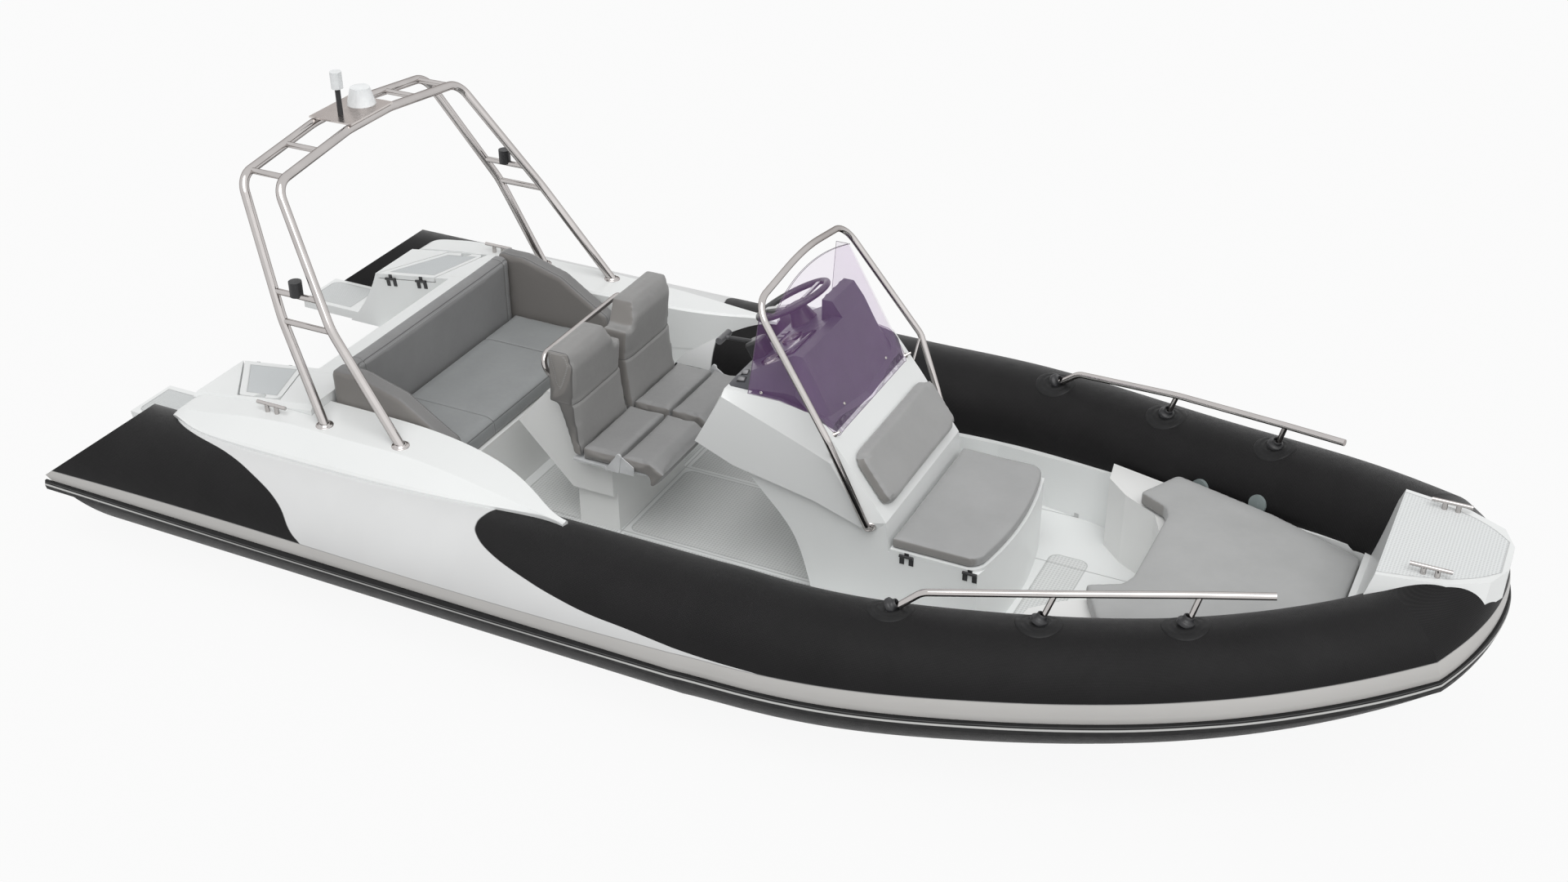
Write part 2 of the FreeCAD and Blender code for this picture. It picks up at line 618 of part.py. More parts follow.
# Motor bracket on the transom, with its four bolt holes.
bracket = Part.makeBox(d.bracket_thick.v, d.bracket_width.v, (d.bracket_top + d.bracket_depth).v,
                       Vector(-d.bracket_thick.v, -d.bracket_width.v / 2, -d.bracket_depth.v))
for row, spread in ((0, d.motor_row_wide), (1, d.motor_row_narrow)):
    for s in (-1, 1):
        z = d.bracket_top.v - d.motor_hole_drop.v - row * d.motor_row_gap.v
        bracket = bracket.cut(Part.makeCylinder(
            d.motor_hole.v / 2, d.bracket_thick.v * 3,
            Vector(-2 * d.bracket_thick.v, s * spread.v / 2, z), Vector(1, 0, 0)))
feature("motor_bracket", bracket, Placement(Vector(-d.transom_x.v, 0, 0), Rotation()))

# Swim platforms, carried on the block's aft face and fitted to the tubes.
board = Part.makeBox((d.block_toe + d.platform_length).v, outer - (d.well_width / 2).v,
                     d.platform_thick.v,
                     Vector(-(d.transom_x + d.block_toe + d.platform_length).v,
                            (d.well_width / 2).v, (d.platform_height - d.platform_thick).v))
board = largest(board.cut(block).cut(aft_port_round))
feature("swim_platforms", Part.makeCompound([board, mirror(board)]))

# Lounge.
base_top = d.seat_height - d.seat_cushion
wide = (d.tube_offset - d.tube_radius - d.liner_wall - d.liner_gap) * 2
back_x = d.seat_back_x + d.back_thick + d.soft_gap
box("lounge_base", (-back_x, -wide / 2, d.sole_height),
    (back_x - d.seat_front_x - d.soft_gap, wide, base_top - d.sole_height))
cushion_wide = (d.coaming_inner - d.liner_gap - d.arm_thick - d.soft_gap) * 2
low = base_top + d.soft_gap
lounge_seat = profile_body(
    "lounge_seat", "XZ_Plane",
    [(-d.seat_back_x, low), (-d.seat_front_x, low), (-d.seat_front_x, d.seat_height),
     (-d.seat_back_x, d.seat_height)], cushion_wide)
round_edges(lounge_seat, "lounge_seat_round", d.seat_cushion / 4,
            lambda e: runs(e, Vector(0, 1, 0)) and e.CenterOfMass.z > d.seat_height.v - gap
            and e.CenterOfMass.x > -d.seat_back_x.v + gap)
lounge_back = profile_body(
    "lounge_back", "XZ_Plane",
    [(-d.seat_back_x - d.back_thick, low), (-d.seat_back_x - d.soft_gap, low),
     (-d.seat_back_x - d.soft_gap, d.back_top), (-d.seat_back_x - d.back_thick, d.back_top)],
    cushion_wide)
round_edges(lounge_back, "lounge_back_round", d.back_thick / 3,
            lambda e: runs(e, Vector(0, 1, 0)) and e.CenterOfMass.z > d.back_top.v - gap)
arm_run = d.seat_back_x + d.back_thick - d.arm_front_x
arm_rise = d.back_top - d.arm_tip_height
for s, name in ((-1, "stbd"), (1, "port")):
    arm = profile_body(
        "lounge_arm_" + name, "XZ_Plane",
        [(-d.seat_back_x - d.back_thick, low), (-d.arm_front_x, low),
         (-d.arm_front_x, d.arm_tip_height),
         (-d.arm_front_x - arm_run * 0.41, d.arm_tip_height + arm_rise * 0.74),
         (-d.arm_front_x - arm_run * 0.74, d.back_top),
         (-d.seat_back_x - d.back_thick, d.back_top)],
        d.arm_thick - d.soft_gap,
        (0, (d.coaming_inner - d.liner_gap - d.arm_thick / 2).v * s, 0))
    round_edges(arm, "lounge_arm_%s_round" % name, d.arm_thick / 3,
                lambda e: runs(e, Vector(0, 1, 0)) and e.CenterOfMass.z > d.seat_height.v)

# Helm pod and its two seats, whose front halves flip up as bolsters.
seat_low = d.helm_seat_top - d.helm_seat_thick
pod_high = seat_low - d.helm_plate_thick
slope_x = d.helm_back_foot_x + d.helm_back_foot_thick + d.soft_gap
pod = profile_body("helm_pod", "XZ_Plane",
                   [(-d.pod_aft_x, d.sole_height), (-d.pod_fore_x, d.sole_height),
                    (-d.pod_fore_x, pod_high), (-slope_x, pod_high),
                    (-d.pod_aft_x, d.pod_shoulder_height)], d.pod_width)
pod.Tip = add_pad(pod, "helm_pod_upper", "XZ_Plane",
                  [(-d.pod_fore_x, d.pod_chine), (-d.pod_fore_x, pod_high), (-slope_x, pod_high),
                   (-d.pod_top_fore_x, d.pod_top), (-d.pod_top_aft_x, d.pod_top),
                   (-d.pod_shoulder_x, d.pod_shoulder_height), (-d.pod_aft_x, d.pod_chine)],
                  d.pod_shoulder_width)
seats, backs, pivots = [], [], []
sx, wide_seat = d.helm_seam_x.v, d.helm_seat_width.v
head_cut = Part.Face(polygon([
    Vector(-big / 2, s * w * d.helm_notch_width.v, d.helm_back_top.v + z * d.helm_notch.v)
    for s, w, z in ((-1, 0.5, 0.1), (-1, 0.25, -1), (1, 0.25, -1), (1, 0.5, 0.1))]))
head_cut = head_cut.extrude(Vector(big, 0, 0))
for side, name in ((-1, "stbd"), (1, "port")):
    yc = (d.helm_seat_width / 2 + d.helm_seat_apart / 2).v * side
    seats.append(Part.makeBox((d.helm_back_foot_x - d.helm_seam_x - d.soft_gap * 2).v, wide_seat,
                              (d.helm_seat_thick - d.soft_gap).v,
                              Vector(-(d.helm_back_foot_x - d.soft_gap).v, yc - wide_seat / 2,
                                     (seat_low + d.soft_gap).v)))
    profile_body("bolster_" + name, "XZ_Plane",
                 [(-d.helm_seam_x + d.soft_gap, seat_low + d.soft_gap),
                  (-d.helm_edge_x - d.bolster_inset / 2, seat_low + d.soft_gap),
                  (-d.helm_edge_x - d.bolster_inset / 2, seat_low - d.helm_nose_drop),
                  (-d.helm_edge_x + d.bolster_inset / 2, seat_low - d.helm_nose_drop),
                  (-d.helm_nose_x, seat_low + d.helm_seat_thick * 0.3),
                  (-d.helm_edge_x, d.helm_seat_top),
                  (-d.helm_seam_x + d.soft_gap, d.helm_seat_top)],
                 d.helm_seat_width, (0, yc, 0))
    plate = Part.makeBox(
        (d.helm_seam_x - d.helm_edge_x).v - 2 * d.bolster_inset.v,
        wide_seat - 2 * d.bolster_inset.v, d.helm_plate_thick.v,
        Vector(-sx + d.bolster_inset.v, yc - wide_seat / 2 + d.bolster_inset.v, pod_high.v))
    y_seat = yc + side * wide_seat / 2
    pivot = Vector(-sx, y_seat, (d.helm_seat_top + d.pivot_rise).v)
    ear_r = d.pivot_eye.v / 2
    across = Vector(0, side, 0)
    gap_y = across * d.soft_gap.v
    ear_end = -sx + d.ear_length.v
    ear = Part.Face(polygon([
        pivot + gap_y - Vector(0, 0, pivot.z - pod_high.v),
        Vector(ear_end, y_seat, pod_high.v) + gap_y,
        Vector(ear_end, y_seat, (seat_low + d.helm_seat_thick / 2).v) + gap_y,
        Vector(-sx + ear_r, y_seat, pivot.z) + gap_y,
        Vector(-sx, y_seat, pivot.z) + gap_y])).extrude(across * d.ear_thick.v)
    ear = ear.fuse(Part.makeCylinder(ear_r, d.ear_thick.v, pivot + gap_y, across))
    inset = d.bolster_inset.v
    strap = Part.makeBox(inset * 2, inset + d.soft_gap.v, d.helm_plate_thick.v,
                         Vector(-sx + inset, min(y_seat - side * inset,
                                                 y_seat + side * d.soft_gap.v), pod_high.v))
    eye = Part.makeCylinder(d.pivot_pin.v / 2 + d.hinge_bore_play.v, d.ear_thick.v * 3,
                            pivot - across * d.ear_thick.v, across)
    feature("bolster_hinge_" + name, plate.fuse([strap, ear]).cut(eye).removeSplitter())
    y_fixed = gap_y + across * (d.ear_thick.v + d.ear_apart.v)
    reach = y_fixed.Length + d.ear_thick.v
    tab_aft, tab_fore = -sx - d.ear_length.v, -sx - d.ear_apart.v
    tab = Part.makeBox(tab_fore - tab_aft, reach, d.helm_plate_thick.v,
                       Vector(tab_aft, min(y_seat, y_seat + side * reach), pod_high.v))
    bracket_ear = Part.Face(polygon([
        Vector(tab_aft, y_seat, pod_high.v) + y_fixed,
        Vector(tab_fore, y_seat, pod_high.v) + y_fixed,
        Vector(-sx + ear_r, y_seat, pivot.z) + y_fixed,
        Vector(-sx - ear_r, y_seat, pivot.z) + y_fixed])).extrude(across * d.ear_thick.v)
    pivots.append(bracket_ear.fuse([
        Part.makeCylinder(ear_r, d.ear_thick.v, pivot + y_fixed, across),
        Part.makeCylinder(d.pivot_pin.v / 2, reach - d.soft_gap.v / 2,
                          pivot + across * (d.soft_gap.v / 2), across), tab]))
    foot, high = d.helm_back_foot_x, d.helm_back_top - seat_low
    top_fore = foot + d.helm_back_lean
    top_aft = top_fore + d.helm_back_thick
    back_line = [(foot, seat_low + d.soft_gap),
                 (foot + d.helm_back_foot_thick, seat_low + d.soft_gap),
                 (d.pod_top_fore_x - d.liner_gap, d.pod_top + d.soft_gap),
                 (top_aft, d.pod_top + d.soft_gap), (top_aft, d.helm_back_top),
                 (top_fore, d.helm_back_top),
                 (foot + d.helm_back_lean * 0.42, seat_low + high * 0.84),
                 (foot + d.helm_back_lean * 0.63, seat_low + high * 0.53)]
    rest_face = Part.Face(polygon([Vector(-x.v, yc - wide_seat / 2, z.v) for x, z in back_line]))
    backs.append(largest(rest_face.extrude(Vector(0, wide_seat, 0)).cut(head_cut)))
feature("helm_seats", Part.makeCompound(seats))
feature("helm_backs", Part.makeCompound(backs))
pan = Part.makeBox((slope_x - d.soft_gap - d.helm_seam_x).v,
                   2 * wide_seat + d.helm_seat_apart.v, d.helm_plate_thick.v,
                   Vector(-(slope_x - d.soft_gap).v, -wide_seat - d.helm_seat_apart.v / 2,
                          pod_high.v))
feature("helm_seat_pan", pan.fuse(pivots).removeSplitter())
doc.recompute()
grip_x = -(d.pod_top_aft_x - d.grip_tube).v
grip_sink = d.pod_top.v - d.grip_tube.v
grip = mirrored_points([
    Vector(grip_x, -d.grip_foot_width.v / 2, grip_sink),
    Vector(grip_x, -d.grip_foot_width.v / 2, d.pod_top.v + d.grip_tube.v),
    Vector(grip_x - d.grip_reach.v, -d.grip_width.v / 2, (d.pod_top + d.grip_rise).v)])
grip_round = [d.grip_tube.v, d.grip_tube.v * 2, d.grip_tube.v * 2, d.grip_tube.v]
feature("grab_handle", largest(tube_along(grip, grip_round, d.grip_tube.v).cut(pod.Shape)))

# Console: a winged cowl over a lower body with a curved foot well.
up, horn = d.wing_flare.v, d.brow_horn.v
bx, bz = d.brow_x.v, d.brow_height.v
kx, kz = (d.box_aft_x - d.knee_back).v, d.knee_height.v
rim_x, rim_z = -d.rim_x.v, d.rim_height.v


def on_front(share):
    """A point on the console's sloping front, at a share from the brow to the knee."""
    return bx + (kx - bx) * share, bz + (kz - bz) * share


aft_low = (-d.console_aft_x.v, d.console_aft_height.v)
under = [(d.well_foot_x.v, (d.wing_fore_height + d.wing_mid_height).v / 2),
         (d.rim_x.v * 2, d.wing_mid_height.v)]
wing = [aft_low, (rim_x, rim_z), (bx * 0.43, rim_z - horn * 0.94), (bx * 0.77, rim_z - horn * 1.65),
        (bx, bz - horn), (d.wing_fore_x.v + up / 2, kz),
        (d.wing_fore_x.v, d.wing_fore_height.v)] + under
crest_z = rim_z + up * 0.8
shoulder = [aft_low, (rim_x, crest_z), (bx * 0.49, crest_z), (bx * 0.82, rim_z), on_front(0.2),
            (kx, kz), (kx - up, kz - up)] + under
brow = [aft_low, (rim_x, crest_z), (bx * 0.49, crest_z), on_front(-0.155), on_front(0.27),
        (kx, kz), (kx - up, kz - up)] + under
middle = brow[:3] + [on_front(0)] + brow[4:]
half = (d.box_width / 2).v
side_rows = [(half + up, wing), (half, shoulder), (half - 2.3 * up, brow)]
rows = ([(-y, row) for y, row in side_rows] + [(0, middle)]
        + [(y, row) for y, row in side_rows[::-1]])
cowl = Part.makeLoft([polygon([Vector(x, y, z) for x, z in row]) for y, row in rows], True, True)
well_curve = Part.BSplineCurve()
well_curve.interpolate(Points=[
    Vector(d.well_foot_x.v, -half, d.sole_height.v),
    Vector((d.well_foot_x * 0.6 + d.well_knee_x * 0.4).v, -half,
           (d.sole_height * 0.5 + d.well_knee_height * 0.5).v),
    Vector(d.well_knee_x.v, -half, d.well_knee_height.v),
    Vector((d.wing_root_x * 0.6 + d.well_knee_x * 0.4).v, -half,
           (d.wing_mid_height * 0.55 + d.well_knee_height * 0.45).v),
    Vector(d.wing_root_x.v, -half, d.wing_mid_height.v - horn / 3)])
body_line = [Vector(d.wing_root_x.v, -half, d.wing_mid_height.v - horn / 3),
             Vector(d.wing_root_x.v + horn, -half, d.console_aft_height.v),
             Vector(bx, -half, d.console_aft_height.v), Vector(kx, -half, kz),
             Vector(d.box_aft_x.v, -half, d.box_height.v),
             Vector(d.box_aft_x.v, -half, d.sole_height.v),
             Vector(d.well_foot_x.v, -half, d.sole_height.v)]
body_wire = Part.Wire([well_curve.toShape()] + [Part.LineSegment(a, b).toShape()
                                                for a, b in zip(body_line, body_line[1:])])
lower = Part.Face(body_wire).extrude(Vector(0, 2 * half, 0))
console = largest(cowl.fuse(lower).removeSplitter())
feature("console_body", console)

box_rim = Part.makeBox(
    (d.box_length - d.box_wall * 2).v, (d.box_width - d.box_wall * 2).v, big,
    Vector((d.box_aft_x + d.box_wall).v, -(d.box_width / 2 - d.box_wall).v,
           (d.sole_height + d.box_wall).v))
box_outer = Part.makeBox(d.box_length.v, d.box_width.v, (d.box_height - d.sole_height).v,
                         Vector(d.box_aft_x.v, -d.box_width.v / 2, d.sole_height.v))
feature("console_seat_box", box_outer.cut(box_rim))
lid_low = d.box_height + d.soft_gap
cushion_low = lid_low + d.lid_board + d.soft_gap
for label, z_low, thick in (("console_seat_lid", lid_low, d.lid_board),
                            ("console_seat_cushion", cushion_low, d.box_cushion - d.soft_gap)):
    board = profile_body(label, "XY_Plane",
                         [(d.box_aft_x + d.lid_clear, -d.box_width / 2),
                          (d.box_aft_x + d.box_length, -d.box_width / 2),
                          (d.box_aft_x + d.box_length, d.box_width / 2),
                          (d.box_aft_x + d.lid_clear, d.box_width / 2)],
                         thick, (0, 0, z_low + thick / 2))
    round_edges(board, label + "_round", d.seat_corner,
                lambda e: runs(e, Vector(0, 0, 1))
                and e.CenterOfMass.x > (d.box_aft_x + d.box_length).v - gap)

# Lid hinges: fixed knuckles with pin and leaves, and the moving knuckle with its leaf.
hinge_r = d.hinge_barrel.v / 2


def hinge_fixed():
    third = d.hinge_width.v / 3
    start = -d.hinge_width.v / 2
    whole = Part.makeCylinder(d.hinge_pin.v / 2, d.hinge_width.v, Vector(start, 0, 0),
                              Vector(1, 0, 0))
    for k in (0, 2):
        whole = whole.fuse([
            Part.makeCylinder(hinge_r, third, Vector(start + k * third, 0, 0), Vector(1, 0, 0)),
            Part.makeBox(third, d.hinge_leaf.v, d.hinge_leaf_drop.v,
                         Vector(start + k * third, hinge_r - d.hinge_leaf.v,
                                -d.hinge_leaf_drop.v))])
    return whole.removeSplitter()


def hinge_moving(rise):
    third = d.hinge_width.v / 3
    play = d.hinge_side_play.v
    start = -third / 2 + play
    knuckle = Part.makeCylinder(hinge_r, third - 2 * play, Vector(start, 0, 0), Vector(1, 0, 0))
    leaf = Part.makeBox(third - 2 * play, d.hinge_leaf.v, rise,
                        Vector(start, hinge_r - d.hinge_leaf.v, 0))
    bore = Part.makeCylinder(d.hinge_pin.v / 2 + d.hinge_bore_play.v, third,
                             Vector(-third / 2, 0, 0), Vector(1, 0, 0))
    return knuckle.fuse(leaf).cut(bore).removeSplitter()


console_places = [
    Placement(Vector(d.box_aft_x.v + d.hinge_inset.v
                     + k * (d.box_length.v - 2 * d.hinge_inset.v),
                     -(d.box_width / 2).v - hinge_r, lid_low.v), Rotation()) for k in (0, 1)]
fixed_hinges = [placed(hinge_fixed(), q) for q in console_places]
feature("console_hinge", Part.makeCompound([placed(hinge_moving(d.lid_board.v), q)
                                            for q in console_places]))
for side, name in ((-1, "stbd"), (1, "port")):
    spin = Rotation(Vector(0, 0, 1), 180 if side < 0 else 0)
    places = []
    for k in (0, 1):
        x = d.hinge_inset.v + k * (d.lid_length.v - 2 * d.hinge_inset.v)
        at = on_lid(x, -hinge_r, -d.lid_thick.v)
        places.append(Placement(Vector(at.x, side * at.y, at.z), lid_turn.multiply(spin)))
    fixed_hinges += [placed(hinge_fixed(), q) for q in places]
    feature("stern_hinge_" + name, Part.makeCompound(
        [placed(hinge_moving(d.lid_thick.v), q) for q in places]))
feature("hinge_bases", Part.makeCompound(fixed_hinges))

# Backrest on the console's front slope.
rest_up = Vector(bx - kx, 0, bz - kz).normalize()
rest_out = Vector(rest_up.z, 0, -rest_up.x)
rest_foot = Vector(kx, 0, kz) + rest_up * d.rest_foot_gap.v + rest_out * d.soft_gap.v
thin = d.rest_thick.v / 3
rest_pts = [rest_foot, rest_foot + rest_up * d.rest_height.v,
            rest_foot + rest_up * d.rest_height.v + rest_out * thin,
            rest_foot + rest_up * (d.rest_height.v - thin) + rest_out * d.rest_thick.v,
            rest_foot + rest_up * thin + rest_out * d.rest_thick.v,
            rest_foot + rest_out * thin]
rest = Part.Face(polygon([p + Vector(0, -d.rest_width.v / 2, 0) for p in rest_pts]))
feature("console_backrest", rest.extrude(Vector(0, d.rest_width.v, 0)))

# Dash under the screen, with a hood for the instruments.
panel_foot = Vector(rim_x, 0, rim_z + up)
crest = Vector(d.dash_crest_x.v, 0, d.dash_height.v)
crest_fore = crest + Vector(d.dash_crest.v, 0, 0)
dash_fore = Vector(bx - up, 0, bz + up / 3)
dash_low = bz - up
full = [Vector(rim_x, 0, dash_low), panel_foot, crest, crest_fore, dash_fore,
        Vector(dash_fore.x, 0, dash_low)]
flank = [full[0], panel_foot - Vector(0, 0, up / 4), Vector(crest.x, 0, rim_z + 1.6 * up),
         Vector(crest_fore.x, 0, rim_z + 1.5 * up), dash_fore, full[5]]
dash_rows = [(-d.dash_half_width.v, flank), (d.dash_flank.v - d.dash_half_width.v, full),
             (d.dash_half_width.v - d.dash_flank.v, full), (d.dash_half_width.v, flank)]
dash = Part.makeLoft([polygon([p + Vector(0, y, 0) for p in row]) for y, row in dash_rows],
                     True, True)
dash = largest(dash.cut(console))
hood_x = crest.x - d.hood_run.v * 1.2
hood_line = [Vector(hood_x, 0, rim_z + up), Vector(hood_x, 0, d.hood_height.v),
             Vector(hood_x + d.hood_run.v, 0, d.hood_height.v), crest_fore, dash_fore]
hood = Part.Face(polygon([p + Vector(0, d.hood_inner.v, 0) for p in hood_line]))
hood = hood.extrude(Vector(0, (d.hood_outer - d.hood_inner).v, 0))
hood_room = Part.makeBox(big, 2 * (d.dash_half_width - d.dash_flank).v, big,
                         Vector(-big / 2, -(d.dash_half_width - d.dash_flank).v, 0))
dash = largest(dash.fuse(hood.common(hood_room).cut(console)).removeSplitter())
feature("dash", dash)

# Windscreen wrapped round the dash, and the rail over it.
thick = d.screen_thick.v


def screen_ring(z, x_fore, y_half, x_aft, r):
    pts = [Vector(x_aft, -y_half, z), Vector(x_fore, -y_half, z), Vector(x_fore, y_half, z),
           Vector(x_aft, y_half, z), Vector(x_aft, y_half - thick, z),
           Vector(x_fore - thick, y_half - thick, z), Vector(x_fore - thick, thick - y_half, z),
           Vector(x_aft, thick - y_half, z)]
    return rounded_outline(pts, [0, r, r, 0, 0, r - thick, r - thick, 0])


arch_top = (d.screen_top + d.screen_arch).v
lean_in = (bx - d.screen_top_x.v) / (arch_top - bz)
foot_z, head_z = dash_low + thick, arch_top + thick
screen = Part.makeLoft([
    screen_ring(foot_z, bx + (bz - foot_z) * lean_in, d.screen_foot_half.v, d.screen_aft_foot.v,
                d.screen_corner.v),
    screen_ring(head_z, bx + (bz - head_z) * lean_in, d.screen_half_width.v, d.screen_aft_top.v,
                d.screen_corner_top.v)], True, True)
ends = [Vector(-big / 2, s * d.screen_half_width.v * 1.1, d.screen_top.v) for s in (-1, 1)]
tops = [Vector(p.x, p.y, arch_top + up) for p in ends]
over = Part.Face(Part.Wire([
    Part.Arc(ends[0], Vector(-big / 2, 0, arch_top), ends[1]).toShape(),
    Part.LineSegment(ends[1], tops[1]).toShape(), Part.LineSegment(tops[1], tops[0]).toShape(),
    Part.LineSegment(tops[0], ends[0]).toShape()])).extrude(Vector(big, 0, 0))
feature("windscreen", largest(screen.cut(over).cut(console)))
knee_at = Vector(d.rail_knee_x.v, -d.rail_knee_half.v, d.rail_knee_height.v)
rail_pts = mirrored_points([
    Vector(d.rail_foot_x.v, -half + up, d.rail_foot_height.v),
    Vector(d.rail_foot_x.v, -d.rail_foot_half.v, d.rail_foot_height.v), knee_at,
    Vector(d.rail_bend_x.v, -d.rail_bend_half.v, d.rail_bend_height.v)])
crown = Vector(d.rail_bend_x.v + d.rail_stay.v, 0, (d.rail_bend_height + d.rail_arch).v)
rail_pts.insert(4, crown)
side_rounds = [d.rail_foot_round.v, d.rail_bend_round.v, d.rail_bend_round.v]
rail = tube_along(rail_pts, side_rounds + [d.rail_bend_round.v * 8] + side_rounds[::-1],
                  d.rail_tube.v)
for s in (-1, 1):
    top = Vector(knee_at.x, s * d.rail_knee_half.v, knee_at.z)
    low_end = Vector(bx, s * half, bz - horn)
    rail = rail.fuse(Part.makeCylinder(d.rail_stay.v / 2, (low_end - top).Length, top,
                                       low_end - top))
feature("windscreen_rail", largest(rail.cut(console)))

# Steering wheel on its bezel, throttle and cup holders.
panel = (crest - panel_foot).normalize()
panel_up = Vector(-panel.z, 0, panel.x)
panel_turn = Rotation(Vector(0, 0, 1), panel_up)


def on_panel(along, y, lift=0.0):
    return panel_foot + panel * along + panel_up * lift + Vector(0, y, 0)


bezel_at = on_panel(d.wheel_along.v, d.wheel_offset.v)
feature("helm_bezel", Part.makeCone(d.bezel_foot.v / 2, d.wheel_hub.v / 2, d.bezel_height.v),
        Placement(bezel_at, panel_turn))
rim_r = (d.wheel_diameter - d.wheel_rim).v / 2
wheel = Part.makeTorus(rim_r, d.wheel_rim.v / 2, Vector(0, 0, d.wheel_dish.v))
wheel = wheel.fuse(Part.makeCylinder(d.wheel_hub.v / 2, d.wheel_hub_thick.v))
for k in range(3):
    spoke = Part.makeBox(rim_r, d.wheel_rim.v, d.wheel_rim.v / 3,
                         Vector(0, -d.wheel_rim.v / 2, d.wheel_hub_thick.v / 3))
    spoke.rotate(Vector(0, 0, 0), Vector(0, 1, 0),
                 -math.degrees(math.atan2(d.wheel_dish.v - d.wheel_hub_thick.v / 3, rim_r)))
    spoke.rotate(Vector(0, 0, 0), Vector(0, 0, 1), 180 + 120 * k)
    wheel = wheel.fuse(spoke)
wheel_at = on_panel(d.wheel_along.v, d.wheel_offset.v, d.bezel_height.v + d.wheel_gap.v)
feature("steering_wheel", wheel.removeSplitter(), Placement(wheel_at, panel_turn))
size = d.throttle_size.v
case = Part.makeBox(size, size, size, Vector(-size / 2, -size / 2, 0))
case = case.makeFillet(size / 6, [e for e in case.Edges if e.CenterOfMass.z > size / 4])
arm_way = Vector(-1, 0, 0.5).normalize()
arm = Part.makeCylinder(size / 9, d.throttle_lever.v, Vector(0, 0, size * 0.8), arm_way)
grip_end = Vector(0, 0, size * 0.8) + arm_way * d.throttle_lever.v
hold = Part.makeCylinder(size / 5, d.throttle_grip.v, grip_end - Vector(0, d.throttle_grip.v / 2, 0),
                         Vector(0, 1, 0))
feature("throttle", case.fuse([arm, hold]).removeSplitter(),
        Placement(on_panel(d.throttle_along.v, -d.throttle_offset.v), panel_turn))
cups = []
for k in (0, 1):
    ring = Part.makeCylinder(d.cup_outer.v / 2, d.cup_rim.v)
    ring = ring.cut(Part.makeCylinder(d.cup_inner.v / 2, d.cup_rim.v * 3,
                                      Vector(0, 0, -d.cup_rim.v)))
    cups.append(placed(ring, Placement(on_panel(
        d.cup_along.v, -d.cup_offset.v - k * d.cup_apart.v), panel_turn)))
feature("cup_holders", Part.makeCompound(cups))

# Bow locker base, sunpad, step and cleats.
wing_x, base_x = bow_tip - d.bow_wing_back.v, bow_tip - d.bow_base_back.v
wing_shares = ((1, 0.37), (0.82, 0.61), (0.36, 0.78), (0.06, 0.963))
base_half = [(wing_x + (base_x - wing_x) * s, w * d.bow_wing_inner.v) for s, w in wing_shares]
base_half += cockpit_outline(gap, wing_x, cavity_fore - gap)
feature("bow_base", prism(base_half, d.sole_height.v, d.bow_base_height.v))
notch_x = bow_tip - d.sunpad_notch_back.v
pad_half = [(notch_x, d.sunpad_notch.v), (notch_x - gap * 22, d.sunpad_notch.v * 1.26),
            (bow_tip - d.sunpad_tip_back.v, d.sunpad_tip_half.v)]
pad_half += cockpit_outline(gap, bow_tip - d.sunpad_edge_back.v, cavity_fore - gap)
feature("sunpad", prism(pad_half, d.bow_base_height.v + soft,
                        d.bow_base_height.v + d.sunpad_thick.v))


def step_foot(z, x_aft, shrink):
    """The step's block at a height, from its leaning aft face to the nose."""
    nose = bow_tip - d.step_aft_back.v + d.step_length.v - shrink
    side = [Vector(x_aft + (nose - x_aft) * s, -w * d.step_half_width.v + shrink / 4, z)
            for s, w in step_shares]
    return polygon(mirrored_points(side))


step_block = Part.makeLoft([
    step_foot(step_low, bow_tip - (d.step_aft_back + d.step_lean).v, 0),
    step_foot(d.bow_base_height.v, cavity_fore, d.step_flange.v * 2)], True, True)
step_block = largest(step_block.cut(tube_cut).cut(deck))
step = step_cap.fuse(step_block).removeSplitter()
feature("bow_step", largest(step))


def cleat():
    whole = Part.makeCylinder(d.cleat_height.v / 5, d.cleat_length.v,
                              Vector(-d.cleat_length.v / 2, 0, d.cleat_height.v * 0.8),
                              Vector(1, 0, 0))
    for k in (-1, 1):
        whole = whole.fuse(Part.makeCylinder(
            d.cleat_height.v / 4, d.cleat_height.v * 0.8 + d.cleat_foot.v,
            Vector(k * d.cleat_length.v / 6, 0, -d.cleat_foot.v)))
    return whole


bow_cleat = placed(cleat(), Placement(
    Vector(bow_tip - d.cleat_back.v, -d.cleat_offset.v, d.step_top.v), Rotation()))
stern_cleat = placed(cleat(), Placement(
    Vector(-d.stern_cleat_x.v, -d.stern_cleat_offset.v, d.coaming_top.v), Rotation()))
fittings = [largest(bow_cleat.cut(step)), largest(stern_cleat.cut(coaming))]
feature("deck_cleats", Part.makeCompound(fittings + [mirror(f) for f in fittings]))


# Handrails on the forward tubes.
def tube_crown(share, lean):
    """A point on the starboard tube's skin, its normal and the way forward there."""
    k = int(share)
    t = share - k
    c0, r_a, out0, up0, _ = frame_at(k)
    c1, r_b, out1, up1, _ = frame_at(k + 1)
    c = c0 + (c1 - c0) * t
    r = r_a + (r_b - r_a) * t
    out = (out0 * (1 - t) + out1 * t).normalize()
    rise = (up0 * (1 - t) + up1 * t).normalize()
    n = (rise * math.cos(lean) - out * math.sin(lean)).normalize()
    return c + n * r, n, (c1 - c0).normalize()


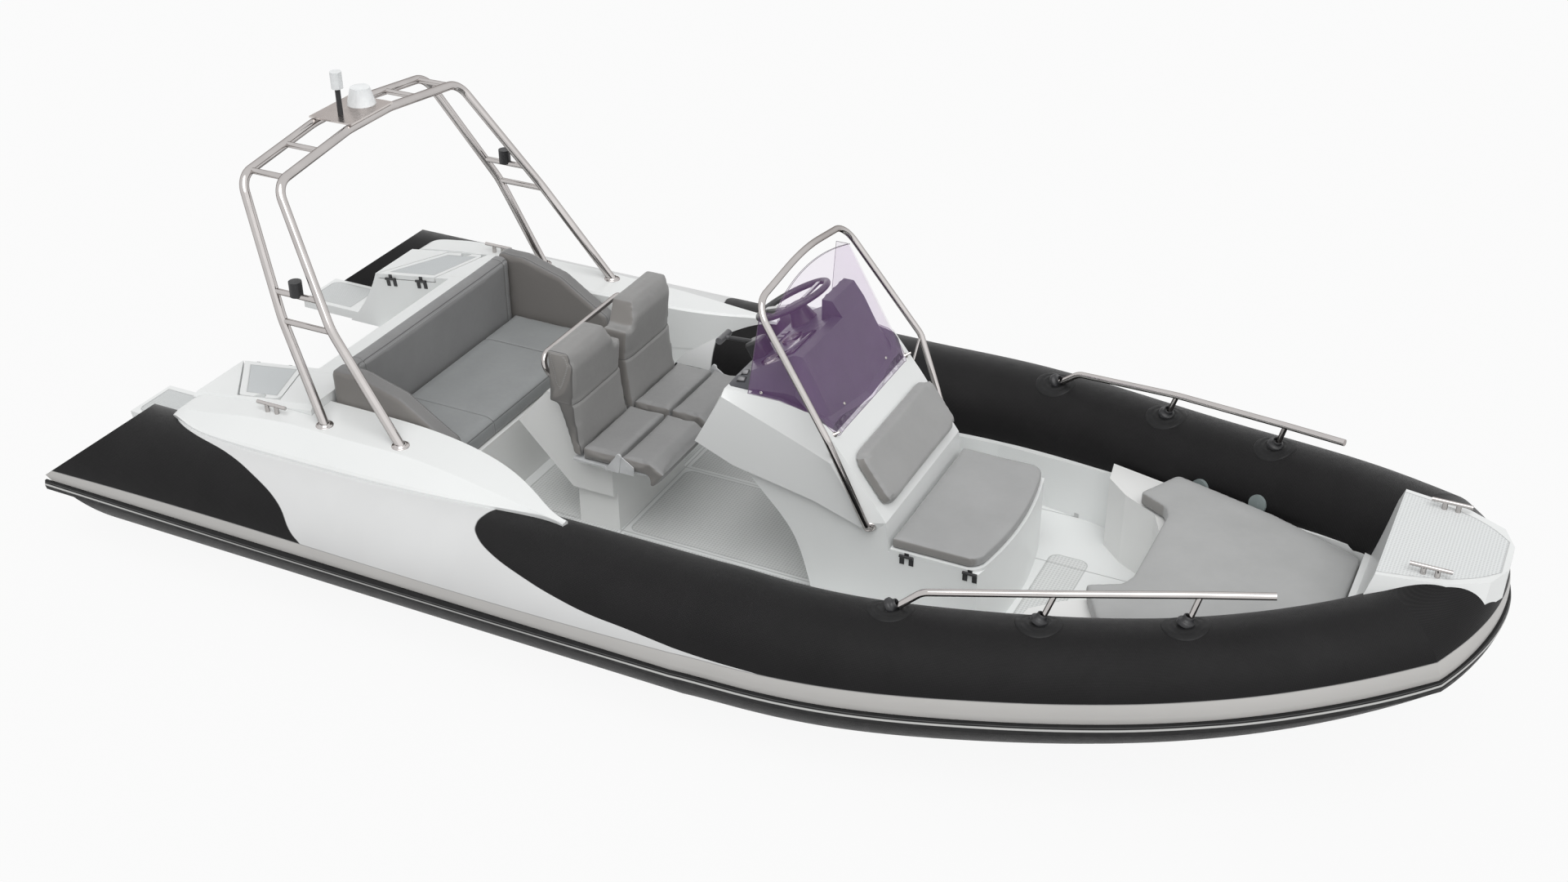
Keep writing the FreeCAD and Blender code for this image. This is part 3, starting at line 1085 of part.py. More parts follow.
patch_shares = (2.42, 3.62, 4.90)
valve_shares = ((5.0, 80), (4.3, 80))
crown_lean = math.radians(8)
feet = [tube_crown(q, crown_lean) for q in patch_shares]
patches = []
for p, n, ahead in feet:
    patch = Part.makeCylinder(d.patch_diameter.v / 2, d.patch_thick.v * 3,
                              p - n * d.patch_thick.v * 2, n)
    patches.append(max(patch.cut(fore_stbd).Solids, key=lambda q: q.CenterOfMass.dot(n)))
feature("rail_patches", Part.makeCompound(patches + [mirror(p) for p in patches]))
heads = [p + n * d.handrail_height.v + ahead * d.handrail_lead.v for p, n, ahead in feet]
p, n, ahead = feet[0]
first = p + n * d.handrail_rise.v + ahead * (2 * d.handrail_lead.v)
tail_end = heads[2] + (heads[2] - heads[1]).normalize() * d.handrail_tail.v
tail_end.z = heads[2].z + d.handrail_inset.v * 2
hand = tube_along([p - n * d.handrail_inset.v, first, heads[1], heads[2], tail_end],
                  [d.handrail_tube.v * 3, d.handrail_tube.v * 30, d.handrail_tube.v * 30],
                  d.handrail_tube.v)
for (p, n, ahead), head in zip(feet[1:], heads[1:]):
    low_end = p - n * d.handrail_inset.v
    hand = hand.fuse(Part.makeCylinder(d.handrail_tube.v * 0.4, (head - low_end).Length, low_end,
                                       head - low_end))
hand = largest(hand.cut(fore_stbd).cut(Part.makeCompound(patches)))
feature("handrail_stbd", hand)
feature("handrail_port", mirror(hand))

# Roll bar: two hoops with a knee, a bend and an arched crown.
hoops = []
flat = (d.bar_plate / 2).v
both_coamings = Part.makeCompound([coaming, mirror(coaming)])
for k, name in ((0, "fore"), (1, "aft")):
    pts = mirrored_points([
        Vector(-(d.bar_foot_x + d.bar_gap_foot * k).v, -d.bar_foot_half.v,
               (d.coaming_top - d.bar_foot_sink).v),
        Vector(-(d.bar_knee_x + d.bar_gap_knee * k).v, -d.bar_knee_half.v, d.bar_knee_height.v),
        Vector(-(d.bar_bend_x + d.bar_gap_top * k).v, -d.bar_bend_half.v, d.bar_bend_height.v),
        Vector(-(d.bar_bend_x + d.bar_gap_top * k).v - flat / 15, -flat, d.bar_crown_height.v)])
    r = d.bar_round.v
    hoop = tube_along(pts, [4 * r, r, 5 * r, 5 * r, r, 4 * r], d.bar_tube.v)
    hoop = hoop.cut(both_coamings).cut(Part.makeCompound([aft_round, aft_port_round]))
    hoop = largest(hoop)
    feature("roll_bar_" + name, hoop)
    hoops.append((pts, hoop))


def rung_between(k, share, side):
    """A bar from hoop to hoop, at a share of the way from corner k to the next."""
    a, b = [pts[k] + (pts[k + 1] - pts[k]) * share for pts, _ in hoops]
    a, b = [Vector(q.x, side * abs(q.y), q.z) for q in (a, b)]
    return a, b


rungs = []
rung_shares = ((0, 0.985), (1, 0.2), (2, 0.12), (2, 0.6))
for side in (-1, 1):
    for k, share in rung_shares:
        a, b = rung_between(k, share, side)
        rung = Part.makeCylinder(d.bar_rung.v / 2, (b - a).Length, a, b - a)
        rungs.append(largest(rung.cut([hoops[0][1], hoops[1][1]])))
feature("roll_bar_rungs", Part.makeCompound(rungs))
plate_low = d.bar_crown_height.v + d.bar_tube.v / 2
crown_x = [pts[3].x for pts, _ in hoops]
plate = Part.makeBox(crown_x[0] - crown_x[1] + d.bar_tube.v, d.bar_plate.v, d.bar_plate_thick.v,
                     Vector(crown_x[1] - d.bar_tube.v / 2, -flat, plate_low))
feature("roll_bar_plate", plate)
plate_top = plate_low + d.bar_plate_thick.v
mast_at = Vector((crown_x[0] + crown_x[1]) / 2, -d.bar_plate.v / 4, plate_top)
lights = [Part.makeCylinder(d.mast_tube.v / 2, d.mast_height.v, mast_at)]
for side in (-1, 1):
    a, b = rung_between(1, 0.2, side)
    lamp = Part.makeCylinder(d.side_lamp.v / 2, d.side_lamp.v * 1.2, (a + b) / 2)
    rung = Part.makeCylinder(d.bar_rung.v / 2, (b - a).Length, a, b - a)
    lights.append(max(lamp.cut(rung).Solids, key=lambda q: q.CenterOfMass.z))
feature("light_cases", Part.makeCompound(lights))
lens = Part.makeCylinder(d.lamp_diameter.v / 2, d.lamp_height.v,
                         mast_at + Vector(0, 0, d.mast_height.v))
dome = Part.makeCone(d.dome_diameter.v / 2, d.dome_diameter.v / 3, d.dome_height.v,
                     mast_at + Vector(0, d.bar_plate.v / 2, 0))
feature("masthead", Part.makeCompound([lens, dome]))
valves = []
for q, lean in valve_shares:
    p, n, ahead = tube_crown(q, math.radians(lean))
    cap = Part.makeCylinder(d.valve_diameter.v / 2, d.valve_thick.v * 2,
                            p - n * d.valve_thick.v, n)
    cap = max(cap.cut(fore_stbd).Solids, key=lambda w: w.CenterOfMass.dot(n))
    valves += [cap, mirror(cap)]
feature("valve_caps", Part.makeCompound(valves))

# Check every piece and write one file for each.
doc.recompute()
for obj in doc.Objects:
    if "Invalid" in obj.State or "Error" in obj.State:
        raise RuntimeError("failed: " + obj.Name + " " + str(obj.State))
os.makedirs("parts", exist_ok=True)
for obj in sub_parts:
    shape = obj.Shape
    if shape.isNull() or not shape.isValid():
        raise RuntimeError("bad shape: " + obj.Label)
    shape.exportStep("parts/" + obj.Label + ".step")
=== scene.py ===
import json
import math
import bpy
import bmesh
import numpy as np
from mathutils import Matrix, Vector
from mathutils.bvhtree import BVHTree


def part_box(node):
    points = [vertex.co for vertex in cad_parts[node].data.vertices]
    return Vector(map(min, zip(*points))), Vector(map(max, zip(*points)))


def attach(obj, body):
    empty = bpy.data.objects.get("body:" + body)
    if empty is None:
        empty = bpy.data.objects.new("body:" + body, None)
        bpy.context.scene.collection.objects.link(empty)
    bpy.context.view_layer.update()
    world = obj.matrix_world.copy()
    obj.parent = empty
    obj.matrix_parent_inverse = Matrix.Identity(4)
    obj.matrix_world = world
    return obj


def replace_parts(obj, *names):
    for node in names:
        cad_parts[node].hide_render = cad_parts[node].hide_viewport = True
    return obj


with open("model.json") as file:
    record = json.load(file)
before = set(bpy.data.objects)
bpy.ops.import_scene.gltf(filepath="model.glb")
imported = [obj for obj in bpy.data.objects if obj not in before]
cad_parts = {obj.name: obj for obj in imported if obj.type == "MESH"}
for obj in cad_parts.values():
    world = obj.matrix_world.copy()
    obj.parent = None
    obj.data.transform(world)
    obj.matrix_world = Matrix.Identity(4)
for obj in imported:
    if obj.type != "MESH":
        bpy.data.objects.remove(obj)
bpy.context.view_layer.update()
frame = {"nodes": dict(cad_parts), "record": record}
nodes = frame["nodes"]
body_of = {n: b for b, ns in frame["record"]["behaviour"]["bodies"].items() for n in ns}
scene = bpy.context.scene
home = scene.collection

TURN = 2 * math.pi
# The Mix node has several sockets of one name, so its colour ones go by number.
MIX_FACTOR, MIX_A, MIX_B, MIX_RESULT = 0, 6, 7, 2
# Most of a noise lies between these.
NOISE_LOW, NOISE_HIGH = 0.3, 0.7


# Shader helpers.
class Graph:
    """A node material with its Principled shader at hand."""

    def __init__(self, name, **sockets):
        self.mat = bpy.data.materials.new(name)
        self.mat.use_nodes = True
        self.tree = self.mat.node_tree
        self.bsdf = self.tree.nodes["Principled BSDF"]
        for key, value in sockets.items():
            self.bsdf.inputs[key.replace("_", " ")].default_value = value
        at = self.add("TexCoord").outputs
        self.object = at["Object"]
        self.x, self.y, self.z = self.add("SeparateXYZ", Vector=self.object).outputs
        self.nx, self.ny, self.nz = self.add("SeparateXYZ", Vector=at["Normal"]).outputs
        self.ay = self.math("ABSOLUTE", self.y)

    def put(self, socket, value):
        """Links a socket to another, or gives it a plain value."""
        if isinstance(value, bpy.types.NodeSocket):
            self.tree.links.new(value, socket)
        else:
            socket.default_value = value

    def add(self, kind, props=None, **sockets):
        n = self.tree.nodes.new("ShaderNode" + kind)
        for key, value in (props or {}).items():
            setattr(n, key, value)
        for key, value in sockets.items():
            self.put(n.inputs[key.replace("_", " ")], value)
        return n

    def math(self, op, a, b=0.0, c=0.0):
        n = self.tree.nodes.new("ShaderNodeMath")
        n.operation = op
        for socket, value in zip(n.inputs, (a, b, c)):
            self.put(socket, value)
        return n.outputs[0]

    def fold(self, op, *values):
        """One operation over any number of values."""
        out = values[0]
        for v in values[1:]:
            out = self.math(op, out, v)
        return out

    def step(self, value, at, soft=0.001):
        """0 below at, 1 above it, over a soft edge."""
        n = self.add("MapRange", {"interpolation_type": "SMOOTHSTEP"}, Value=value,
                     From_Min=at - soft, From_Max=at + soft)
        return n.outputs[0]

    def line(self, value, at, half, soft=0.0008):
        """1 within half of at."""
        away = self.math("ABSOLUTE", self.math("SUBTRACT", value, at))
        n = self.add("MapRange", {"interpolation_type": "SMOOTHSTEP"}, Value=away,
                     From_Min=half - soft, From_Max=half + soft, To_Min=1.0, To_Max=0.0)
        return n.outputs[0]

    def curve(self, value, points, low, high, out_low, out_high):
        """A smooth function through points, read at value."""
        span, height = high - low, out_high - out_low
        t = self.math("DIVIDE", self.math("SUBTRACT", value, low), span)
        n = self.add("FloatCurve", Value=t)
        c = n.mapping.curves[0]
        points = sorted(((p - low) / span, (q - out_low) / height) for p, q in points)
        c.points[0].location, c.points[1].location = points[0], points[-1]
        for p in points[1:-1]:
            c.points.new(*p)
        n.mapping.update()
        return self.math("MULTIPLY_ADD", n.outputs[0], height, out_low)

    def noise(self, scale, detail=3.0, stretch=None):
        at = self.object
        if stretch:
            at = self.add("Mapping", Vector=at, Scale=stretch).outputs[0]
        return self.add("TexNoise", Vector=at, Scale=scale, Detail=detail).outputs["Fac"]

    def mix(self, fac, a, b, blend="MIX"):
        """Two colours mixed by a factor."""
        n = self.add("Mix", {"data_type": "RGBA", "blend_type": blend})
        for socket, value in ((MIX_FACTOR, fac), (MIX_A, a), (MIX_B, b)):
            self.put(n.inputs[socket], value)
        return n.outputs[MIX_RESULT]

    def vary(self, value, low, high):
        """A noise spread from low to high."""
        return self.add("MapRange", Value=value, From_Min=NOISE_LOW, From_Max=NOISE_HIGH,
                        To_Min=low, To_Max=high).outputs[0]

    def shade(self, colour, amount):
        """A colour times an amount."""
        grey = self.add("CombineColor", Red=amount, Green=amount, Blue=amount).outputs[0]
        return self.mix(1.0, colour, grey, "MULTIPLY")

    def relief(self, *pairs):
        """Bumps as height and depth in metres, one over the other."""
        last = None
        for height, depth in pairs:
            n = self.add("Bump", Height=height, Distance=depth, Strength=1.0)
            if last:
                self.put(n.inputs["Normal"], last)
            last = n.outputs[0]
        self.put(self.bsdf.inputs["Normal"], last)

    def finish(self, colour, rough):
        self.put(self.bsdf.inputs["Base Color"], colour)
        self.put(self.bsdf.inputs["Roughness"], rough)
        return self.mat


def rgb(r, g, b):
    return (r, g, b, 1.0)


def gelcoat(name, colour=(0.84, 0.855, 0.85), tread=None, crease=None, under=None):
    """Glossy moulded laminate, with tread fields where tread gives a depth into the field."""
    g = Graph(name, Coat_Weight=0.15, Coat_Roughness=0.12, Specular_IOR_Level=0.4)
    base = g.shade(rgb(*colour), g.vary(g.noise(1.6, 1.0), 0.975, 1.015))
    grime = g.math("MULTIPLY", g.step(g.noise(4.0, 3.0), 0.62, 0.15), 0.03)
    base = g.mix(grime, base, rgb(0.58, 0.56, 0.52))
    rough = g.vary(g.noise(6.0, 2.0), 0.30, 0.36)
    bumps = [(g.noise(7.0, 1.0), 0.0004)]
    if crease:
        lines = crease(g)
        base = g.mix(g.math("MULTIPLY", lines, 0.55), base, rgb(0.30, 0.30, 0.30))
        bumps.append((g.math("MULTIPLY", lines, -1.0), 0.003))
    if tread:
        inside, pitch, tint = tread(g)
        field = g.step(inside, 0.0, 0.002)
        rim = g.line(inside, 0.0, 0.0025, 0.001)
        u = g.math("MULTIPLY", g.math("ADD", g.x, g.y), TURN / pitch)
        v = g.math("MULTIPLY", g.math("SUBTRACT", g.x, g.y), TURN / pitch)
        dots = g.math("MULTIPLY", g.math("SINE", u), g.math("SINE", v))
        raised = g.math("MULTIPLY", g.step(dots, 0.25, 0.2), field)
        base = g.mix(g.math("MULTIPLY", field, 0.9), base, rgb(*tint))
        base = g.mix(g.math("MULTIPLY", raised, 0.5), base, rgb(*(0.70 * c for c in tint)))
        base = g.mix(g.math("MULTIPLY", rim, 0.45), base, rgb(0.42, 0.43, 0.43))
        rough = g.mix(field, rough, rgb(0.6, 0.6, 0.6))
        bumps += [(raised, 0.0009), (g.math("MULTIPLY", rim, -1.0), 0.0015)]
    if under:
        base = g.mix(under(g), base, rgb(0.070, 0.072, 0.082))
    g.relief(*bumps)
    return g.finish(base, rough)


def box_inside(g, x0, x1, y1, round_by=0.04):
    """How far a point lies inside a rounded panel that is the same on both sides."""
    dx = g.math("SUBTRACT", g.math("ABSOLUTE", g.math("SUBTRACT", g.x, (x0 + x1) / 2)),
                (x1 - x0) / 2 - round_by)
    dy = g.math("SUBTRACT", g.ay, y1 - round_by)
    px, py = g.math("MAXIMUM", dx, 0.0), g.math("MAXIMUM", dy, 0.0)
    out = g.math("SQRT", g.math("ADD", g.math("MULTIPLY", px, px), g.math("MULTIPLY", py, py)))
    near = g.math("MINIMUM", g.math("MAXIMUM", dx, dy), 0.0)
    return g.math("SUBTRACT", round_by, g.math("ADD", out, near))


def level_only(g, inside, low=0.9):
    """Keeps a field to surfaces that face up."""
    flat = g.math("SUBTRACT", g.step(g.nz, low, 0.03), 1.0)
    return g.math("ADD", inside, flat)


def on_sole(g):
    """1 below a level just over the sole."""
    return g.step(g.math("SUBTRACT", 0.15, g.z), 0.0)


# Each tread gives its field, the pitch of its dots and its tint.
def sole_tread(g):
    """Panels aft, amidships and forward, and one along each side of the middle."""
    aft, middle, fore, wide = (box_inside(g, *panel) for panel in (
        (-1.15, -0.61, 0.64), (-0.57, 0.36, 0.275), (1.17, 1.34, 0.36), (-0.57, 0.36, 0.66)))
    inboard = g.step(g.math("SUBTRACT", 0.31, g.ay), 0.0)
    walk = g.math("SUBTRACT", wide, g.math("MULTIPLY", inboard, 2.0))
    inside = g.fold("MAXIMUM", aft, middle, fore, walk)
    low = g.math("SUBTRACT", on_sole(g), 1.0)
    return level_only(g, g.math("ADD", inside, low)), 0.030, (0.70, 0.712, 0.706)


def step_tread(g):
    """A field that narrows with the bow step."""
    wide = g.curve(g.x, [(2.50, 0.30), (2.70, 0.262), (2.85, 0.205), (2.97, 0.10)],
                   2.50, 2.97, 0.0, 0.4)
    inside = g.fold("MINIMUM", g.math("SUBTRACT", wide, g.ay), g.math("SUBTRACT", g.x, 2.545),
                    g.math("SUBTRACT", 2.962, g.x))
    return level_only(g, inside, 0.8), 0.024, (0.79, 0.81, 0.81)


def lid_tread(g):
    """A field inside each stern lid's skewed edges."""
    across = g.math("SUBTRACT", g.ay, 0.5)
    aft = g.math("SUBTRACT", g.x, g.math("MULTIPLY_ADD", across, 0.75, -2.42))
    fore = g.math("SUBTRACT", g.math("MULTIPLY_ADD", across, 0.35, -2.075), g.x)
    inside = g.fold("MINIMUM", g.math("MULTIPLY", aft, 0.8), g.math("MULTIPLY", fore, 0.94),
                    across, g.math("SUBTRACT", 0.8, g.ay))
    return level_only(g, g.math("SUBTRACT", inside, 0.03), 0.85), 0.009, (0.66, 0.69, 0.70)


def platform_tread(g):
    inside = box_inside(g, -2.89, -2.64, 0.74)
    gap = g.math("SUBTRACT", g.ay, 0.53)
    return level_only(g, g.math("MINIMUM", inside, gap)), 0.018, (0.66, 0.68, 0.68)


def deck_creases(g):
    """Panel joints of the sole."""
    half = 0.0016
    lines = g.fold("MAXIMUM", g.line(g.ay, 0.292, half), g.line(g.x, -0.592, half),
                   g.line(g.x, 0.385, half), g.line(g.ay, 0.675, half))
    return g.math("MULTIPLY", lines, on_sole(g))


def screen_bed(g):
    """The dark bed that the pane's foot stands on."""
    inside = g.fold("MINIMUM", g.math("SUBTRACT", 0.392, g.ay), g.math("SUBTRACT", 0.456, g.x),
                    g.math("SUBTRACT", g.x, 0.096), g.math("SUBTRACT", g.z, 0.90))
    corner = g.math("SUBTRACT", 0.80, g.math("ADD", g.x, g.ay))
    return g.step(g.math("MINIMUM", inside, corner), 0.0)


white = gelcoat("white_laminate")
deck = gelcoat("deck_laminate", tread=sole_tread, crease=deck_creases)
step_white = gelcoat("step_laminate", tread=step_tread)
lid_white = gelcoat("lid_laminate", tread=lid_tread)
platform_white = gelcoat("platform_laminate", tread=platform_tread)
console_white = gelcoat("console_laminate", under=screen_bed)
hull_paint = gelcoat("hull_laminate", (0.78, 0.79, 0.78))
warm_white = gelcoat("moulding_laminate", (0.82, 0.825, 0.815))

# The tubes' centreline forward of the straight part: stations, heights and offsets.
run = [0.20, 0.454, 0.796, 1.303, 1.747, 2.145, 2.506, 2.844]
centre_z = [0.345, 0.352, 0.369, 0.402, 0.441, 0.498, 0.565, 0.633]
centre_y = [1.025, 1.024, 1.003, 0.915, 0.795, 0.655, 0.475, 0.260]
stern_x, tube_radius, weave_pitch = -2.93, 0.266, 0.0095
# The edges of the light flash, as angle round the tube and station.
flash_nose = [(0.0, 0.57), (0.23, 0.552), (0.246, 0.427), (0.27, 0.286), (0.319, 0.142),
              (0.372, -0.006), (0.415, -0.156), (0.51, -0.311), (0.654, -0.472),
              (0.867, -0.648), (1.10, -0.748), (1.267, -0.771), (1.46, -0.767), (1.65, -0.75),
              (1.84, -0.723), (2.0, -0.70)]
flash_tail = [(0.0, -1.52), (0.155, -1.536), (0.27, -1.574), (0.72, -1.685), (1.01, -1.843),
              (1.265, -2.035), (1.445, -2.241), (1.60, -2.35), (1.78, -2.408), (2.0, -2.42)]
flash_turn = 2.0


def tube(name, place):
    """Tube fabric with its light band, its light flash, the edges of both, and the weave."""
    g = Graph(name, Specular_IOR_Level=0.13, Sheen_Weight=0.10, Sheen_Roughness=0.35)
    if place == "aft":
        zc, yc = centre_z[0], centre_y[0]
        top = g.curve(g.x, [(stern_x, 0.030), (-2.2, 0.042), (-0.6, 0.038), (0.2, 0.056)],
                      stern_x, 0.2, 0.0, 0.1)
    elif place == "fore":
        zc = g.curve(g.x, list(zip(run, centre_z)), 0.2, 2.844, 0.3, 0.9)
        yc = g.curve(g.x, list(zip(run, centre_y)), 0.2, 2.844, 0.0, 1.1)
        top = g.curve(g.x, [(0.2, 0.056), (0.55, 0.058), (1.7, 0.062), (2.85, 0.06)],
                      0.2, 2.85, 0.0, 0.1)
    else:
        zc = g.curve(g.ay, [(0, 0.70), (0.12, 0.692), (0.25, 0.675), (0.37, 0.655), (0.5, 0.631)],
                     0.0, 0.5, 0.5, 0.8)
        yc, top = 0.0, 0.060
    rise = g.math("SUBTRACT", g.z, zc)
    side = g.math("SUBTRACT", g.ay, yc)
    turn = g.math("ARCTAN2", rise, side)
    outer = g.step(side, -0.08, 0.02) if place != "bow" else g.step(g.x, 2.6, 0.02)
    over_band = g.math("SUBTRACT", rise, top)
    band = g.fold("MULTIPLY", outer, g.step(g.math("SUBTRACT", top, rise), 0.0),
                  g.step(rise, -0.03))
    band_edge = g.line(over_band, 0.0, 0.002)
    if place == "bow":
        light, edge = band, band_edge
    else:
        above = g.step(over_band, 0.0)
        round_on = g.math("MAXIMUM", g.math("MINIMUM", turn, flash_turn), 0.0)
        nose_x, tail_x = (g.curve(round_on, points, 0.0, flash_turn, -3.0, 1.0)
                          for points in (flash_nose, flash_tail))
        gap = g.math("MINIMUM", g.math("SUBTRACT", nose_x, g.x), g.math("SUBTRACT", g.x, tail_x))
        flash = g.fold("MULTIPLY", g.step(gap, 0.0, 0.0015), above, g.step(turn, 0.0, 0.002))
        light = g.math("MAXIMUM", flash, band)
        edge = g.math("MAXIMUM", g.math("MULTIPLY", g.line(gap, 0.0, 0.003), above),
                      g.math("MULTIPLY", band_edge, outer))
        if place == "aft":
            # The wedge cut at the stern is faced with light fabric.
            end = g.step(g.math("MULTIPLY", g.nx, -1.0), 0.15, 0.02)
            light = g.math("MAXIMUM", light, g.math("MULTIPLY", end, g.step(rise, -0.06, 0.01)))
    black = g.shade(rgb(0.0085, 0.0082, 0.0086), g.vary(g.noise(6.0, 3.0), 0.85, 1.2))
    pale = g.mix(band, rgb(0.70, 0.705, 0.705), rgb(0.56, 0.55, 0.535))
    pale = g.shade(pale, g.vary(g.noise(3.0, 3.0), 0.97, 1.02))
    colour = g.mix(light, black, pale)
    wave = TURN / weave_pitch
    if place == "bow":
        along, about = g.math("MULTIPLY", g.y, wave), g.math("MULTIPLY", g.z, wave)
    else:
        along, about = g.math("MULTIPLY", g.x, wave), g.math("MULTIPLY", turn, tube_radius * wave)
    weave = g.math("MULTIPLY", g.math("SINE", g.math("ADD", along, about)),
                   g.math("SINE", g.math("SUBTRACT", along, about)))
    dark = g.math("SUBTRACT", 1.0, light)
    thread = g.math("MULTIPLY", weave, dark)
    colour = g.mix(g.math("MULTIPLY", g.step(thread, 0.35, 0.3), 0.35), colour,
                   rgb(0.030, 0.029, 0.030))
    colour = g.mix(g.math("MULTIPLY", edge, 0.35), colour, rgb(0.25, 0.25, 0.25))
    rough = g.mix(light, g.vary(g.noise(20.0, 3.0), 0.40, 0.47), g.vary(g.noise(12.0), 0.36, 0.42))
    g.relief((g.noise(3.0, 1.0), 0.0012), (thread, 0.0003), (edge, 0.0006))
    return g.finish(colour, rough)


tube_aft, tube_fore, tube_bow = (tube("tube_fabric_" + p, p) for p in ("aft", "fore", "bow"))


def rubber(name, stripe=False):
    """Black rubber; the strake's has two ribs, painted lighter grey as a painted highlight, and a
    light stripe that follow the tubes.
    """
    g = Graph(name, Specular_IOR_Level=0.2)
    colour = g.shade(rgb(0.013, 0.013, 0.0135), g.vary(g.noise(25.0, 4.0), 0.8, 1.25))
    if stripe:
        zc = g.curve(g.x, [(stern_x, centre_z[0])] + list(zip(run, centre_z)) +
                     [(2.972, 0.675), (3.02, 0.70)], stern_x, 3.02, 0.3, 0.9)
        rise = g.math("SUBTRACT", g.z, zc)
        lower = g.line(rise, -0.041, 0.004, 0.001)
        ribs_and_painted_highlight = g.fold("MAXIMUM", g.line(rise, -0.008, 0.0015), g.line(rise, -0.03, 0.0015))
        # Painted highlight: the ribs are painted lighter grey than the black rubber, standing in
        # for light along them; their bumps are real relief.
        colour = g.mix(g.math("MULTIPLY", ribs_and_painted_highlight, 0.6), colour, rgb(0.16, 0.16, 0.16))
        colour = g.mix(lower, colour, rgb(0.55, 0.55, 0.54))
        g.relief((g.noise(500.0, 2.0), 0.0001), (ribs_and_painted_highlight, 0.0015))
    else:
        g.relief((g.noise(500.0, 2.0), 0.0001), (g.noise(30.0, 3.0), 0.0003))
    return g.finish(colour, g.vary(g.noise(40.0, 3.0), 0.42, 0.6))


strake_rubber, patch_rubber = rubber("strake_rubber", True), rubber("patch_rubber")


def steel(name, tint=(0.53, 0.505, 0.495), rough=(0.06, 0.11), grain=(1, 1, 1)):
    g = Graph(name, Metallic=1.0, Specular_Tint=(0.30, 0.27, 0.26, 1.0))
    colour = g.shade(rgb(*tint), g.vary(g.noise(10.0, 3.0), 0.95, 1.04))
    g.relief((g.noise(120.0, 2.0, grain), 0.00002))
    return g.finish(colour, g.vary(g.noise(30.0, 3.0, grain), *rough))


polished = steel("polished_steel")
brushed = steel("brushed_steel", (0.66, 0.62, 0.60), (0.2, 0.34), (1, 12, 1))


def plastic(name, colour, rough=(0.35, 0.5), grain=700.0, depth=0.00008, coat=0.0, mark=None):
    """Grained plastic with faint scuffs; mark changes its colour and adds bumps."""
    g = Graph(name, Coat_Weight=coat, Coat_Roughness=0.1)
    base = g.shade(rgb(*colour), g.vary(g.noise(12.0, 3.0), 0.9, 1.1))
    scuff = g.math("MULTIPLY", g.step(g.noise(55.0, 5.0), 0.66, 0.06), 0.25)
    base = g.mix(scuff, base, rgb(*(min(1.0, c * 1.6 + 0.02) for c in colour)))
    bumps = [(g.noise(grain, 2.0), depth)]
    if mark:
        base, more = mark(g, base)
        bumps += more
    g.relief(*bumps)
    return g.finish(base, g.vary(g.noise(30.0, 3.0), *rough))


bracket = plastic("bracket_enamel", (0.62, 0.63, 0.64), (0.25, 0.4), 300.0, 0.00005, 0.3)
black_plastic = plastic("black_plastic", (0.022, 0.022, 0.024))
dash_plastic = plastic("dash_plastic", (0.050, 0.052, 0.062), (0.3, 0.45), 900.0, 0.0001, 0.1)
grey_plastic = plastic("valve_plastic", (0.23, 0.27, 0.27), (0.35, 0.5), 400.0, 0.0001)


def mast_mark(g, base):
    """The dark pole under the mast light; the antenna dome on the other side stays white."""
    pole = g.math("MULTIPLY", g.step(g.math("SUBTRACT", 1.862, g.z), 0.0, 0.002),
                  g.step(g.math("MULTIPLY", g.y, -1.0), 0.0, 0.002))
    return g.mix(pole, base, rgb(0.03, 0.03, 0.03)), [(pole, 0.0002)]


mast_plastic = plastic("mast_plastic", (0.82, 0.84, 0.85), (0.15, 0.25), 200.0, 0.00005, 0.5,
                       mast_mark)


def wheel_mark(g, base):
    """Bright spokes between the hub and the leather rim."""
    hub = Vector((0.035, 0.175, 1.1504))
    away = g.add("VectorMath", {"operation": "DISTANCE"}, Vector=g.object)
    away.inputs[1].default_value = hub
    far = away.outputs["Value"]
    spoke = g.math("MULTIPLY", g.step(far, 0.052, 0.002),
                   g.step(g.math("SUBTRACT", 0.150, far), 0.0, 0.002))
    g.put(g.bsdf.inputs["Metallic"], spoke)
    return g.mix(spoke, base, rgb(0.62, 0.62, 0.62)), [(spoke, 0.0002)]


wheel_plastic = plastic("wheel_grip", (0.05, 0.05, 0.052), (0.3, 0.5), 500.0, 0.0002, 0.1,
                        wheel_mark)


def throttle_mark(g, base):
    """The lever's paler grip."""
    knob = g.step(g.math("SUBTRACT", -0.13, g.x), 0.0, 0.003)
    return g.mix(knob, base, rgb(0.10, 0.10, 0.105)), [(knob, 0.0002)]


throttle_plastic = plastic("throttle_plastic", (0.018, 0.018, 0.02), (0.3, 0.42), 600.0, 0.0001,
                           0.25, throttle_mark)


def tinted_pane(name):
    """Clear purple-tinted acrylic."""
    g = Graph(name, Specular_IOR_Level=0.2, Coat_Weight=0.1, Coat_Roughness=0.03)
    tone = g.vary(g.noise(3.0, 2.0), 0.94, 1.06)
    g.relief((g.noise(8.0, 1.0), 0.0002))
    g.put(g.bsdf.inputs["Alpha"], g.math("MULTIPLY", tone, 0.085))
    g.mat.surface_render_method = "BLENDED"
    return g.finish(g.shade(rgb(0.52, 0.22, 0.66), tone), g.vary(g.noise(20.0), 0.03, 0.08))


pane = tinted_pane("tinted_pane")


